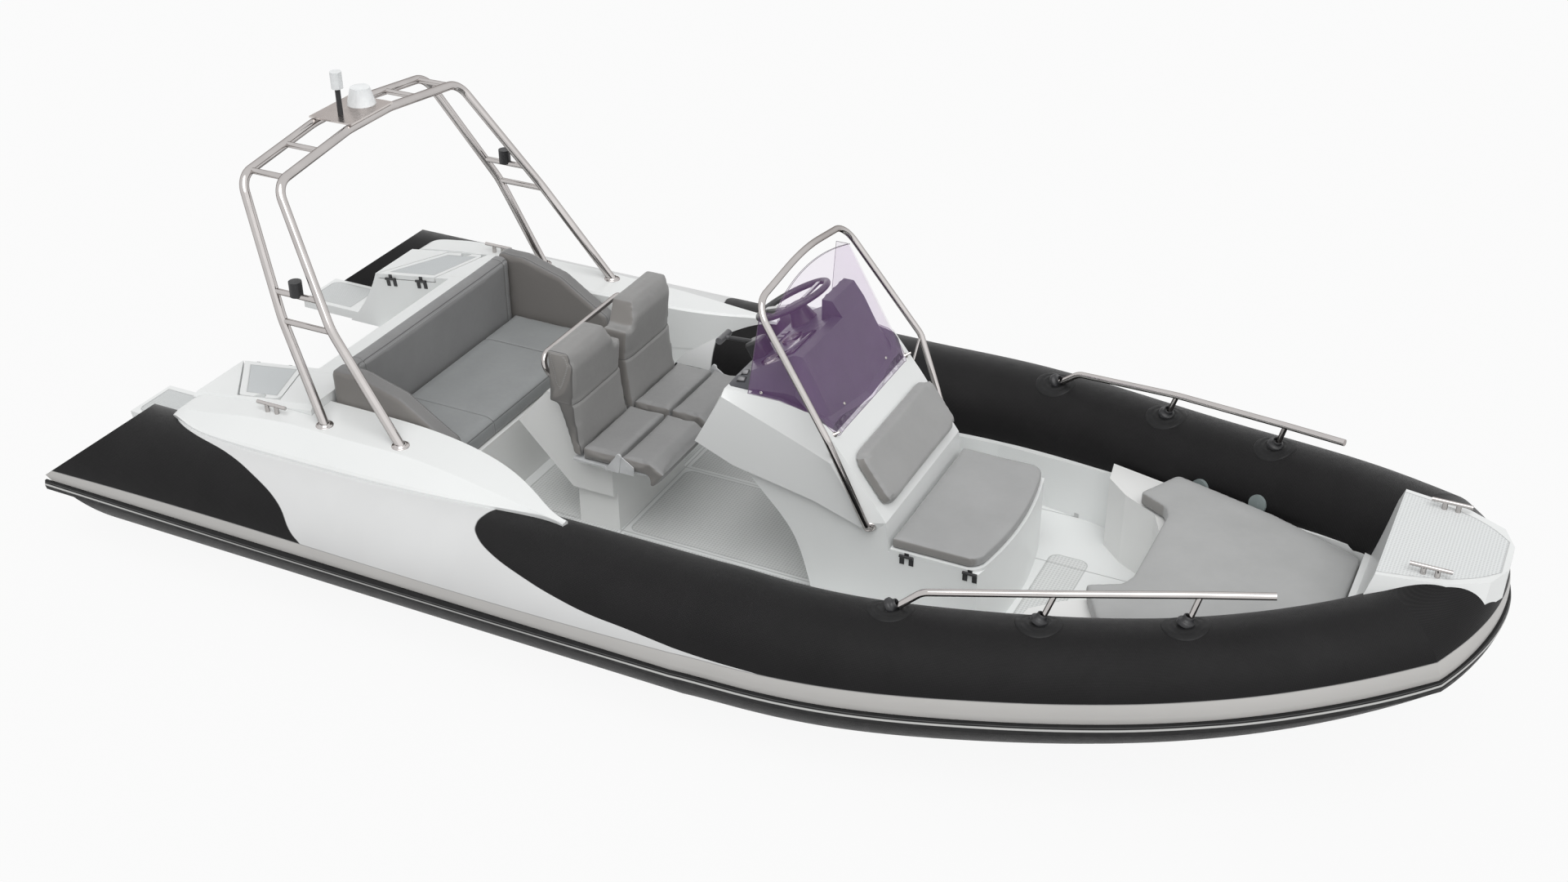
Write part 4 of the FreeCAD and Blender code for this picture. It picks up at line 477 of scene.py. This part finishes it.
def vinyl(name, colour, seams=None):
    """Marine vinyl with fine grain, sewn joints where seams gives them, and painted shade: flanks
    facing across the boat are darkened towards brown.
    """
    g = Graph(name, Specular_IOR_Level=0.38, Sheen_Weight=0.12, Sheen_Roughness=0.45)
    base = g.shade(rgb(*colour), g.vary(g.noise(5.0, 3.0), 0.95, 1.05))
    # Painted shade: faces turned across the boat are mixed towards a darker brown, standing in for
    # shade on the cushion sides.
    painted_side_shade = g.math("MULTIPLY", g.step(g.math("ABSOLUTE", g.ny), 0.75, 0.1), 0.55)
    base = g.mix(painted_side_shade, base, rgb(0.205, 0.188, 0.172))
    grain = g.add("TexVoronoi", {"feature": "DISTANCE_TO_EDGE"}, Vector=g.object, Scale=520.0)
    bumps = [(g.noise(18.0, 3.0), 0.0008), (grain.outputs["Distance"], 0.0001)]
    if seams:
        lines, stitches = seams(g)
        base = g.mix(g.math("MULTIPLY", lines, 0.75), base, rgb(0.09, 0.09, 0.09))
        base = g.mix(g.math("MULTIPLY", stitches, 0.6), base, rgb(0.40, 0.40, 0.40))
        bumps += [(g.math("MULTIPLY", lines, -1.0), 0.002), (stitches, 0.0006)]
    g.relief(*bumps)
    return g.finish(base, g.vary(g.noise(50.0, 3.0), 0.42, 0.56))


stitch_pitch, stitch_beside = 0.009, 0.007


def sewn(g, value, at, run_by, half=0.0014):
    """A joint with a row of stitches beside it."""
    joint = g.line(value, at, half)
    row = g.line(value, at + stitch_beside, 0.0008, 0.0005)
    dash = g.step(g.math("SINE", g.math("MULTIPLY", run_by, TURN / stitch_pitch)), -0.2, 0.3)
    return joint, g.math("MULTIPLY", row, dash)


def seam_set(*makers):
    """Joins sewn joints into one pair of lines and stitches."""
    def build(g):
        lines, stitches = zip(*(make(g) for make in makers))
        return g.fold("MAXIMUM", *lines), g.fold("MAXIMUM", *stitches)
    return build


seat_vinyl = vinyl("vinyl_seat", (0.275, 0.285, 0.288),
                   seam_set(lambda g: sewn(g, g.ay, 0.31, g.x), lambda g: sewn(g, g.z, 0.532, g.y)))
back_vinyl = vinyl("vinyl_back", (0.235, 0.236, 0.238),
                   seam_set(lambda g: sewn(g, g.ay, 0.545, g.z),
                            lambda g: sewn(g, g.x, -1.703, g.y)))
arm_vinyl = vinyl("vinyl_arm", (0.200, 0.198, 0.197),
                  seam_set(lambda g: sewn(g, g.ay, 0.618, g.x)))
helm_vinyl = vinyl("vinyl_helm", (0.275, 0.275, 0.275),
                   seam_set(lambda g: sewn(g, g.z, 0.5475, g.y, 0.001)))
nose_vinyl = vinyl("vinyl_bolster", (0.275, 0.275, 0.275))
rest_vinyl = vinyl("vinyl_helm_back", (0.285, 0.282, 0.278),
                   seam_set(lambda g: sewn(g, g.z, 0.792, g.y),
                            lambda g: sewn(g, g.ay, 0.417, g.z)))
pad_vinyl = vinyl("vinyl_pad", (0.375, 0.378, 0.378),
                  seam_set(lambda g: sewn(g, g.z, 0.492, g.y)))
rest_pad_vinyl = vinyl("vinyl_rest_pad", (0.35, 0.35, 0.348))
sun_vinyl = vinyl("vinyl_sunpad", (0.415, 0.42, 0.418),
                  seam_set(lambda g: sewn(g, g.z, 0.485, g.y)))

looks = {
    deck: ["deck_moulding"], step_white: ["bow_step"], hull_paint: ["hull"],
    lid_white: ["stern_lid_stbd", "stern_lid_port"], platform_white: ["swim_platforms"],
    white: ["coaming_stbd", "coaming_port", "console_seat_box", "console_seat_lid",
            "stern_block"],
    console_white: ["console_body"], warm_white: ["helm_pod", "bow_base", "lounge_base"],
    tube_aft: ["tube_stbd_aft", "tube_port_aft"], tube_fore: ["tube_stbd_fore", "tube_port_fore"],
    tube_bow: ["tube_bow"], strake_rubber: ["rub_strake"], patch_rubber: ["rail_patches"],
    polished: ["windscreen_rail", "grab_handle", "handrail_port", "handrail_stbd",
               "roll_bar_fore", "roll_bar_aft", "roll_bar_rungs", "deck_cleats", "cup_holders"],
    brushed: ["roll_bar_plate"],
    bracket: ["bolster_hinge_port", "bolster_hinge_stbd", "helm_seat_pan"],
    black_plastic: ["hinge_bases", "stern_hinge_port", "stern_hinge_stbd", "console_hinge",
                    "light_cases", "motor_bracket", "helm_bezel"],
    throttle_plastic: ["throttle"], wheel_plastic: ["steering_wheel"], dash_plastic: ["dash"],
    mast_plastic: ["masthead"], grey_plastic: ["valve_caps"], pane: ["windscreen"],
}


def dress(obj, mat):
    if not obj.data.materials:
        obj.data.materials.append(mat)
    for s in obj.material_slots:
        s.material = mat


for mat, names in looks.items():
    for n in names:
        dress(nodes[n], mat)

# Soft goods, each made from its solid, swollen as cloth and capped.
CLOTH_FRAMES = 14
PAD_INSET = 0.004
PAD_PROUD = 0.004
MERGE = 1e-6


def evaluated(obj):
    graph = bpy.context.evaluated_depsgraph_get()
    return bpy.data.meshes.new_from_object(obj.evaluated_get(graph))


def apply_all(obj):
    mesh = evaluated(obj)
    obj.modifiers.clear()
    obj.data = mesh


def coords(mesh):
    co = np.empty(len(mesh.vertices) * 3)
    mesh.vertices.foreach_get("co", co)
    return co.reshape(-1, 3)


def set_coords(mesh, co):
    mesh.vertices.foreach_set("co", co.ravel())
    mesh.update()


def normals(mesh):
    return np.array([v.normal[:] for v in mesh.vertices])


def welded(node):
    """A node's mesh with its doubled points merged."""
    bm = bmesh.new()
    bm.from_mesh(nodes[node].data)
    bmesh.ops.remove_doubles(bm, verts=bm.verts, dist=MERGE)
    return bm


def neighbour_mean(mesh, co, rounds, share):
    """Points moved towards the mean of their neighbours."""
    edges = np.empty(len(mesh.edges) * 2, int)
    mesh.edges.foreach_get("vertices", edges)
    a, b = edges.reshape(-1, 2).T
    count = np.bincount(np.r_[a, b], minlength=len(co))[:, None]
    for _ in range(rounds):
        total = np.zeros_like(co)
        for k in range(3):
            total[:, k] = (np.bincount(a, co[b, k], len(co)) + np.bincount(b, co[a, k], len(co)))
        co = co + (total / count - co) * share
    return co


def bowed(co):
    """The console seat's plan: its front runs back towards both sides."""
    hinge_x, reach, half_width, sweep = 0.745, 0.40, 0.40, 0.048
    co = np.array(co, float)
    along = np.clip((co[:, 0] - hinge_x) / reach, 0, 1)
    co[:, 0] -= sweep * along * np.clip(np.abs(co[:, 1]) / half_width, 0, 1) ** 2
    return co


def round_corners(co):
    """Rounds the console's leaning pad at its corners, seen square to its face."""
    radius, up_way = 0.07, np.array((-0.63, 0.0, 0.777))
    mid = (co.min(0) + co.max(0)) / 2
    u, s = co[:, 1] - mid[1], (co - mid) @ up_way
    du, ds = np.abs(u) - (np.abs(u).max() - radius), np.abs(s) - (np.abs(s).max() - radius)
    corner = (du > 0) & (ds > 0)
    share = np.where(corner, np.maximum(du, ds) / np.maximum(np.hypot(du, ds), 1e-9), 1.0)
    co = co.copy()
    co[:, 1] += np.where(corner, np.sign(u) * du * (share - 1), 0.0)
    return co + np.where(corner, np.sign(s) * ds * (share - 1), 0.0)[:, None] * up_way


def swell(pad):
    """The pad's points after some frames as cloth with air inside."""
    cloth = pad.modifiers.new("Cloth", "CLOTH")
    s = cloth.settings
    s.quality, s.mass = 4, 0.25
    s.tension_stiffness = s.compression_stiffness = 18.0
    s.shear_stiffness, s.bending_stiffness = 8.0, 1.5
    s.use_pressure, s.uniform_pressure_force = True, 4.0
    s.effector_weights.gravity = 0.0
    cloth.collision_settings.use_self_collision = False
    cloth.collision_settings.use_collision = False
    for f in range(1, CLOTH_FRAMES + 1):
        scene.frame_set(f)
    swollen = coords(evaluated(pad))
    pad.modifiers.remove(cloth)
    scene.frame_set(1)
    return swollen


def cushion(name, node, mat, voxel, cap, groove=None, shape=None):
    """The swollen pad that stands for a plain soft solid.

    The cap is how far a point may move. A groove is its axis, its distance from the origin on
    either side, its half width, its depth and the way that it faces.
    """
    pad = bpy.data.objects.new(name, nodes[node].data.copy())
    home.objects.link(pad)
    bm = welded(node)
    bm.to_mesh(pad.data)
    bm.free()
    low, high = (np.array(v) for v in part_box(node))
    remesh = pad.modifiers.new("Remesh", "REMESH")
    remesh.mode, remesh.voxel_size = "VOXEL", voxel
    apply_all(pad)
    mesh = pad.data
    co = shape(coords(mesh)) if shape else coords(mesh)
    co = neighbour_mean(mesh, co, 3, 0.5)
    set_coords(mesh, co)
    normal = normals(mesh)
    co = co - normal * PAD_INSET
    set_coords(mesh, co)
    move = swell(pad) - co
    far = np.linalg.norm(move, axis=1, keepdims=True)
    move *= np.minimum(1.0, cap / np.maximum(far, 1e-9))
    co = neighbour_mean(mesh, co + move, 1, 0.3)
    set_coords(mesh, np.minimum(np.maximum(co, low), high + (0, 0, PAD_PROUD)))
    sub = pad.modifiers.new("Sub", "SUBSURF")
    sub.levels = sub.render_levels = 1
    apply_all(pad)
    mesh = pad.data
    if groove:
        axis, at, width, depth, facing = groove
        co, normal = coords(mesh), normals(mesh)
        near = np.clip(1 - np.abs(np.abs(co[:, axis]) - at) / width, 0, 1)
        sunk = near * near * (3 - 2 * near)
        if facing:
            sunk *= np.clip(normal @ np.array(facing, float) * 2, 0, 1)
        set_coords(mesh, co - normal * (sunk * depth)[:, None])
    for p in mesh.polygons:
        p.use_smooth = True
    mesh.materials.clear()
    mesh.materials.append(mat)
    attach(pad, body_of[node])
    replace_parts(pad, node)
    return pad


cushion("pad_lounge_seat", "lounge_seat", seat_vinyl, 0.011, 0.009,
        groove=(1, 0.31, 0.010, 0.003, (0, 0, 1)))
cushion("pad_lounge_back", "lounge_back", back_vinyl, 0.011, 0.010,
        groove=(1, 0.545, 0.010, 0.003, None))
cushion("pad_arm_stbd", "lounge_arm_stbd", arm_vinyl, 0.010, 0.008)
cushion("pad_arm_port", "lounge_arm_port", arm_vinyl, 0.010, 0.008)
cushion("pad_helm_seats", "helm_seats", helm_vinyl, 0.008, 0.006)
cushion("pad_helm_backs", "helm_backs", rest_vinyl, 0.010, 0.008,
        groove=(2, 0.792, 0.014, 0.004, (1, 0, 0)))
cushion("pad_bolster_stbd", "bolster_stbd", nose_vinyl, 0.008, 0.006)
cushion("pad_bolster_port", "bolster_port", nose_vinyl, 0.008, 0.006)
cushion("pad_console_seat", "console_seat_cushion", pad_vinyl, 0.009, 0.006, shape=bowed)
cushion("pad_console_back", "console_backrest", rest_pad_vinyl, 0.009, 0.007,
        shape=round_corners)
cushion("pad_sunpad", "sunpad", sun_vinyl, 0.012, 0.007)


# Camera at the photograph's place, with the photograph's middle and focal length in pixels.
MID_X, MID_Y, FOCAL = 960, 540, 2317.6
eye = bpy.data.cameras.new("photo_camera")
eye.sensor_width, eye.lens = 36.0, 43.455
camera = bpy.data.objects.new("photo_camera", eye)
home.objects.link(camera)
camera.location = (3.067, -6.240, 4.768)
camera.rotation_euler = (math.radians(90 - 31.035), 0.0, math.radians(25.751))
eye.clip_end = 200.0
scene.camera = camera
bpy.context.view_layer.update()


def tree_of(node):
    return BVHTree.FromObject(nodes[node], bpy.context.evaluated_depsgraph_get())


def meet(tree, start, way):
    """Where a ray meets a tree, and the surface's normal there; None where it misses."""
    return tree.ray_cast(Vector(start), Vector(way))[:2]


def hit(px, py, node):
    """Where the photograph's pixel meets a node, and the surface's normal there."""
    across, over = (px - MID_X) / FOCAL, (MID_Y - py) / FOCAL
    ray = camera.matrix_world.to_3x3() @ Vector((across, over, -1.0)).normalized()
    return meet(tree_of(node), camera.location, ray)


def mirror_y(v):
    return Vector((v[0], -v[1], v[2]))


def sides(v):
    return (Vector(v), mirror_y(v))


def piece(name, bm, mat, body="boat"):
    """A named piece that rides on a body."""
    mesh = bpy.data.meshes.new(name)
    bmesh.ops.recalc_face_normals(bm, faces=bm.faces)
    bm.to_mesh(mesh)
    bm.free()
    for p in mesh.polygons:
        p.use_smooth = True
    mesh.materials.append(mat)
    obj = bpy.data.objects.new(name, mesh)
    home.objects.link(obj)
    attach(obj, body)
    return obj


def turned(bm, profile, place, normal, steps=24):
    """Adds a turned form: radius and height pairs about the normal."""
    turn = Vector(normal).normalized().to_track_quat("Z", "Y").to_matrix().to_4x4()
    base = Matrix.Translation(place) @ turn
    rings = []
    for r, h in profile:
        if r <= 1e-6:
            rings.append([bm.verts.new(base @ Vector((0, 0, h)))])
            continue
        rings.append([bm.verts.new(base @ Vector((r * math.cos(a), r * math.sin(a), h)))
                      for a in (TURN * k / steps for k in range(steps))])
    for a, b in zip(rings, rings[1:]):
        for k in range(steps):
            m = (k + 1) % steps
            quad = ([a[k % len(a)]] + ([a[m]] if len(a) > 1 else []) +
                    ([b[m]] if len(b) > 1 else []) + [b[k % len(b)]])
            if len(quad) > 2:
                bm.faces.new(quad)


# The console seat's box and lid, cut into strips and bowed like its cushion.
strip = 0.04
for node in ("console_seat_box", "console_seat_lid"):
    bm = welded(node)
    for k in range(-9, 10):
        bmesh.ops.bisect_plane(bm, geom=bm.verts[:] + bm.edges[:] + bm.faces[:],
                               plane_co=(0, k * strip, 0), plane_no=(0, 1, 0))
    for v, co in zip(bm.verts, bowed([v.co[:] for v in bm.verts])):
        v.co = co
    for e in bm.edges:
        e.smooth = len(e.link_faces) == 2 and e.calc_face_angle(0.0) < math.radians(25)
    bow = piece("bowed_" + node.split("_")[-1], bm, white, body_of[node])
    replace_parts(bow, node)

# Screws of the windscreen, each with a twin on the other side unless it is near the middle.
screw_profile = [(0.0, 0.0005), (0.0016, 0.0005), (0.0022, 0.0022), (0.0062, 0.0020),
                 (0.0070, 0.0008), (0.0070, -0.001), (0.0, -0.001)]
screws = bmesh.new()
for px, py in ((932, 481), (1034, 494), (1110, 418)):
    place, normal = hit(px, py, "windscreen")
    if place is None:
        continue
    twins = list(zip(sides(place), sides(normal)))
    for q, m in twins if abs(place.y) > 0.05 else twins[:1]:
        turned(screws, screw_profile, q, m)
piece("screen_screws", screws, polished)

# Patches glued to the tubes under each handrail foot, with their sockets.
# Each foot: its place on the starboard tube's crown, the normal there, the way forward and how
# far the rail leans on its way up.
rail_feet = [
    ((0.9500, -0.9468, 0.6270), (-0.0868, 0.1269, 0.9880), (0.9818, 0.1778, 0.0667), 0.115),
    ((1.4874, -0.8311, 0.6562), (-0.1308, 0.1086, 0.9854), (0.9627, 0.2561, 0.0871), 0.060),
    ((1.9859, -0.6843, 0.7081), (-0.1922, 0.0764, 0.9783), (0.9425, 0.3038, 0.1391), 0.060)]
patch_rows = [(0.0, 0.0042), (0.022, 0.0042), (0.040, 0.0042), (0.044, 0.0062), (0.049, 0.0066),
              (0.053, 0.0044), (0.066, 0.0040), (0.070, 0.0052), (0.074, 0.0040),
              (0.083, 0.0036), (0.0875, 0.0022), (0.089, 0.0002)]
socket_profile = [(0.034, -0.004), (0.034, 0.009), (0.030, 0.013), (0.023, 0.016),
                  (0.0205, 0.024), (0.0195, 0.031), (0.0172, 0.033), (0.0150, 0.031),
                  (0.0146, 0.016)]
patch_steps, ray_lift = 48, 0.06
patches, sockets = bmesh.new(), bmesh.new()
for side, node in ((0, "tube_stbd_fore"), (1, "tube_port_fore")):
    skin = tree_of(node)
    for place, normal, ahead, lean in rail_feet:
        p, n, a = sides(place)[side], sides(normal)[side].normalized(), sides(ahead)[side]
        a = (a - n * a.dot(n)).normalized()
        b = n.cross(a)
        rings = []
        for r, h in patch_rows:
            ring = []
            for k in range(patch_steps if r else 1):
                turn = TURN * k / patch_steps
                q = p + a * (r * math.cos(turn)) + b * (r * math.sin(turn)) + n * ray_lift
                found = skin.ray_cast(q, -n)[0] or q - n * ray_lift
                ring.append(patches.verts.new(found + n * h))
            rings.append(ring)
        for u, v in zip(rings, rings[1:]):
            for k in range(patch_steps):
                m = (k + 1) % patch_steps
                if len(u) == 1:
                    patches.faces.new((u[0], v[k], v[m]))
                else:
                    patches.faces.new((u[k], u[m], v[m], v[k]))
        rise = 0.075 if lean > 0.1 else 0.115
        way = (n * rise + a * lean).normalized()
        turned(sockets, socket_profile, p + n * 0.004, way, 32)
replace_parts(piece("rail_pads", patches, patch_rubber), "rail_patches")
piece("rail_sockets", sockets, black_plastic)

# Flanges where the roll bar and the console's rail meet what carries them.
flanges = bmesh.new()
down = Vector((0.0, 0.0, -1.0))
bar_flange = [(0.0205, 0.012), (0.0225, 0.0125), (0.0250, 0.010), (0.0265, 0.0055),
              (0.0350, 0.0042), (0.0375, 0.0025), (0.0380, -0.001)]
foot_flange = [(0.0, 0.006), (0.018, 0.006), (0.022, 0.004), (0.024, -0.001)]
stay_stud = [(0.0115, -0.001), (0.0115, 0.002), (0.0055, 0.0035), (0.0050, 0.030), (0.0, 0.030)]


def flange_pair(found, profile, steps):
    """A flange where a ray met the starboard side, and its twin to port."""
    place, normal = found
    if place is not None:
        for q, m in zip(sides(place), sides(normal)):
            turned(flanges, profile, q, m, steps)


for node in ("roll_bar_fore", "roll_bar_aft"):
    co = coords(nodes[node].data)
    foot = co[(co[:, 1] < 0) & (co[:, 2] < co[:, 2].min() + 0.02)]
    above = (foot[:, 0].mean(), foot[:, 1].mean(), 1.0)
    flange_pair(meet(tree_of("coaming_stbd"), above, down), bar_flange, 32)
flange_pair(meet(tree_of("console_body"), (0.64, -0.8, 0.576), (0, 1, 0)), foot_flange, 24)
flange_pair(hit(1022, 532, "console_body"), stay_stud, 20)
piece("tube_flanges", flanges, polished)

# The red ring of the fitting beside the bow cushion.
ring = bmesh.new()
place, normal = meet(tree_of("bow_base"), (1.835, -0.335, 0.8), down)
if place is None or place.z < 0.35:
    place, normal = Vector((1.835, -0.335, 0.452)), Vector((0, 0, 1))
turned(ring, [(0.022, -0.002), (0.022, 0.006), (0.026, 0.010), (0.033, 0.010), (0.037, 0.006),
              (0.038, -0.002)], place, normal, 32)
piece("ring_fitting", ring, plastic("ring_plastic", (0.55, 0.02, 0.025), (0.3, 0.4), 300.0,
                                    0.00005, 0.2))


# The pane's polished rim.
def rim_runs(node, angle, gap):
    """Runs of points along a node's sharp edges, thinned to a gap."""
    bm = bmesh.new()
    bm.from_mesh(nodes[node].data)
    bmesh.ops.remove_doubles(bm, verts=bm.verts, dist=1e-5)
    sharp = {e for e in bm.edges
             if len(e.link_faces) == 2 and e.calc_face_angle(0.0) > angle}
    runs = []
    while sharp:
        e = min(sharp, key=lambda q: q.index)
        sharp.discard(e)
        path = [e.verts[0], e.verts[1]]
        while True:
            more = [q for q in path[-1].link_edges if q in sharp]
            if not more:
                break
            e = min(more, key=lambda q: q.index)
            sharp.discard(e)
            path.append(e.other_vert(path[-1]))
        points = [path[0].co.copy()]
        for v in path[1:]:
            if (v.co - points[-1]).length > gap:
                points.append(v.co.copy())
        if len(points) > 3:
            runs.append((points, (path[0].co - path[-1].co).length < 0.01))
    bm.free()
    return runs


rim = bpy.data.curves.new("screen_rim", "CURVE")
rim.dimensions = "3D"
rim.bevel_depth, rim.bevel_resolution = 0.0011, 2
for points, closed in rim_runs("windscreen", math.radians(55), 0.010):
    line = rim.splines.new("POLY")
    line.points.add(len(points) - 1)
    for q, co in zip(line.points, points):
        q.co = (*co, 1.0)
    line.use_cyclic_u = closed
rim.materials.append(plastic("rim_acrylic", (0.10, 0.07, 0.11), (0.1, 0.2), 200.0, 0.00002, 0.4))
rim_piece = bpy.data.objects.new("screen_rim", rim)
home.objects.link(rim_piece)
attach(rim_piece, "boat")


# Dash fittings, each set on the dash by a ray.
def block(bm, place, normal, ahead, size, round_by, lift=0.0):
    """A softened block on a surface; size is along, across and up."""
    n = Vector(normal).normalized()
    a = (Vector(ahead) - n * Vector(ahead).dot(n)).normalized()
    b = n.cross(a)
    made = bmesh.ops.create_cube(bm, size=1.0)["verts"]
    for v in made:
        x, y, z = v.co
        v.co = (Vector(place) + a * (x * size[0]) + b * (y * size[1])
                + n * (z * size[2] + size[2] / 2 + lift))
    edges = {e for v in made for e in v.link_edges}
    bmesh.ops.bevel(bm, geom=list(edges), offset=round_by, segments=2, affect="EDGES")


dash_tree = tree_of("dash")
dash_top, forward = 1.6, Vector((1.0, 0.0, 0.0))
gauge_case = [(0.0, 0.002), (0.025, 0.002), (0.0265, 0.006), (0.030, 0.006), (0.0315, 0.003),
              (0.0315, -0.002)]
gauge_glass = [(0.0, 0.0036), (0.0245, 0.0034), (0.0248, 0.0020)]
housing, glass, keys = bmesh.new(), bmesh.new(), bmesh.new()

# The display, then the keys in their frames, then the gauges on the upright face.
place, normal = meet(dash_tree, (0.200, -0.155, dash_top), down)
if place is not None:
    block(housing, place, normal, forward, (0.062, 0.215, 0.010), 0.0022, -0.002)
    block(glass, place, normal, forward, (0.050, 0.200, 0.0015), 0.0004, 0.0078)
for y in (-0.335, -0.30, 0.0, 0.035, 0.07):
    place, normal = meet(dash_tree, (0.030, y, dash_top), down)
    if place is None:
        continue
    block(housing, place, normal, forward, (0.040, 0.026, 0.004), 0.0012, -0.001)
    tilt = (normal + forward * 0.18).normalized()
    block(keys, place, tilt, forward, (0.031, 0.018, 0.006), 0.0015, 0.0015)
for y in (0.135, 0.205, 0.27):
    place, normal = meet(dash_tree, (-0.3, y, 1.235), forward)
    if place is None or place.x > 0.26:
        continue
    turned(housing, gauge_case, place, normal, 36)
    turned(glass, gauge_glass, place, normal, 36)
piece("dash_housings", housing, black_plastic)
piece("dash_keys", keys, plastic("key_plastic", (0.30, 0.30, 0.31), (0.3, 0.4), 500.0, 0.00005))
piece("dash_glass", glass, plastic("gauge_glass", (0.02, 0.024, 0.03), (0.05, 0.1), 60.0,
                                   0.00002, 0.8))

# Pale floor, soft light and a white surround, both brighter to the eye than as lights.
FLOOR_HALF, FLOOR_GLOW, SKY_STRENGTH = 60.0, 0.92, 0.48
FLOOR_GREY, FULL_WHITE = rgb(0.55, 0.55, 0.55), rgb(1.0, 1.0, 1.0)


def in_sight(tree):
    """1 for rays from the camera, through glass or off a gloss."""
    path = tree.nodes.new("ShaderNodeLightPath")
    out = path.outputs["Is Camera Ray"]
    for ray in ("Is Transmission Ray", "Is Glossy Ray"):
        either = tree.nodes.new("ShaderNodeMath")
        either.operation = "MAXIMUM"
        tree.links.new(out, either.inputs[0])
        tree.links.new(path.outputs[ray], either.inputs[1])
        out = either.outputs[0]
    return out


def shader(tree, kind, **sockets):
    n = tree.nodes.new("ShaderNode" + kind)
    for key, value in sockets.items():
        n.inputs[key].default_value = value
    return n.outputs[0]


def surface(tree, kind, share, lit, seen):
    """Ends a tree in an output that mixes how a thing lights and how it is seen."""
    both = tree.nodes.new("ShaderNodeMixShader")
    for socket, source in zip(both.inputs, (share, lit, seen)):
        tree.links.new(source, socket)
    tree.links.new(both.outputs[0], tree.nodes.new("ShaderNode" + kind).inputs["Surface"])


floor_mesh = bpy.data.meshes.new("floor")
corners = [(x * FLOOR_HALF, y * FLOOR_HALF, 0) for x, y in ((-1, -1), (1, -1), (1, 1), (-1, 1))]
floor_mesh.from_pydata(corners, [], [(0, 1, 2, 3)])
floor = bpy.data.objects.new("floor", floor_mesh)
home.objects.link(floor)
mat = bpy.data.materials.new("pale_floor")
mat.use_nodes = True
tree = mat.node_tree
tree.nodes.clear()
glow_share = tree.nodes.new("ShaderNodeMath")
glow_share.operation = "MULTIPLY"
glow_share.inputs[1].default_value = FLOOR_GLOW
tree.links.new(in_sight(tree), glow_share.inputs[0])
surface(tree, "OutputMaterial", glow_share.outputs[0],
        shader(tree, "BsdfDiffuse", Color=FLOOR_GREY), shader(tree, "Emission", Color=FULL_WHITE))
floor_mesh.materials.append(mat)

world = bpy.data.worlds.new("studio")
scene.world = world
world.use_nodes = True
tree = world.node_tree
tree.nodes.clear()
surface(tree, "OutputWorld", in_sight(tree),
        shader(tree, "Background", Color=FULL_WHITE, Strength=SKY_STRENGTH),
        shader(tree, "Background", Color=FULL_WHITE, Strength=1.0))

# Suns: strength, then how wide, how far from overhead and how far round, in degrees.
for name, strength, angle, tilt, turn in (("key", 1.5, 50, 29, 28), ("fill", 0.45, 90, 62, 60)):
    lamp = bpy.data.lights.new(name, "SUN")
    lamp.energy, lamp.angle = strength, math.radians(angle)
    o = bpy.data.objects.new(name, lamp)
    home.objects.link(o)
    o.rotation_euler = (math.radians(tilt), 0.0, math.radians(turn))

scene.view_settings.view_transform = "Standard"
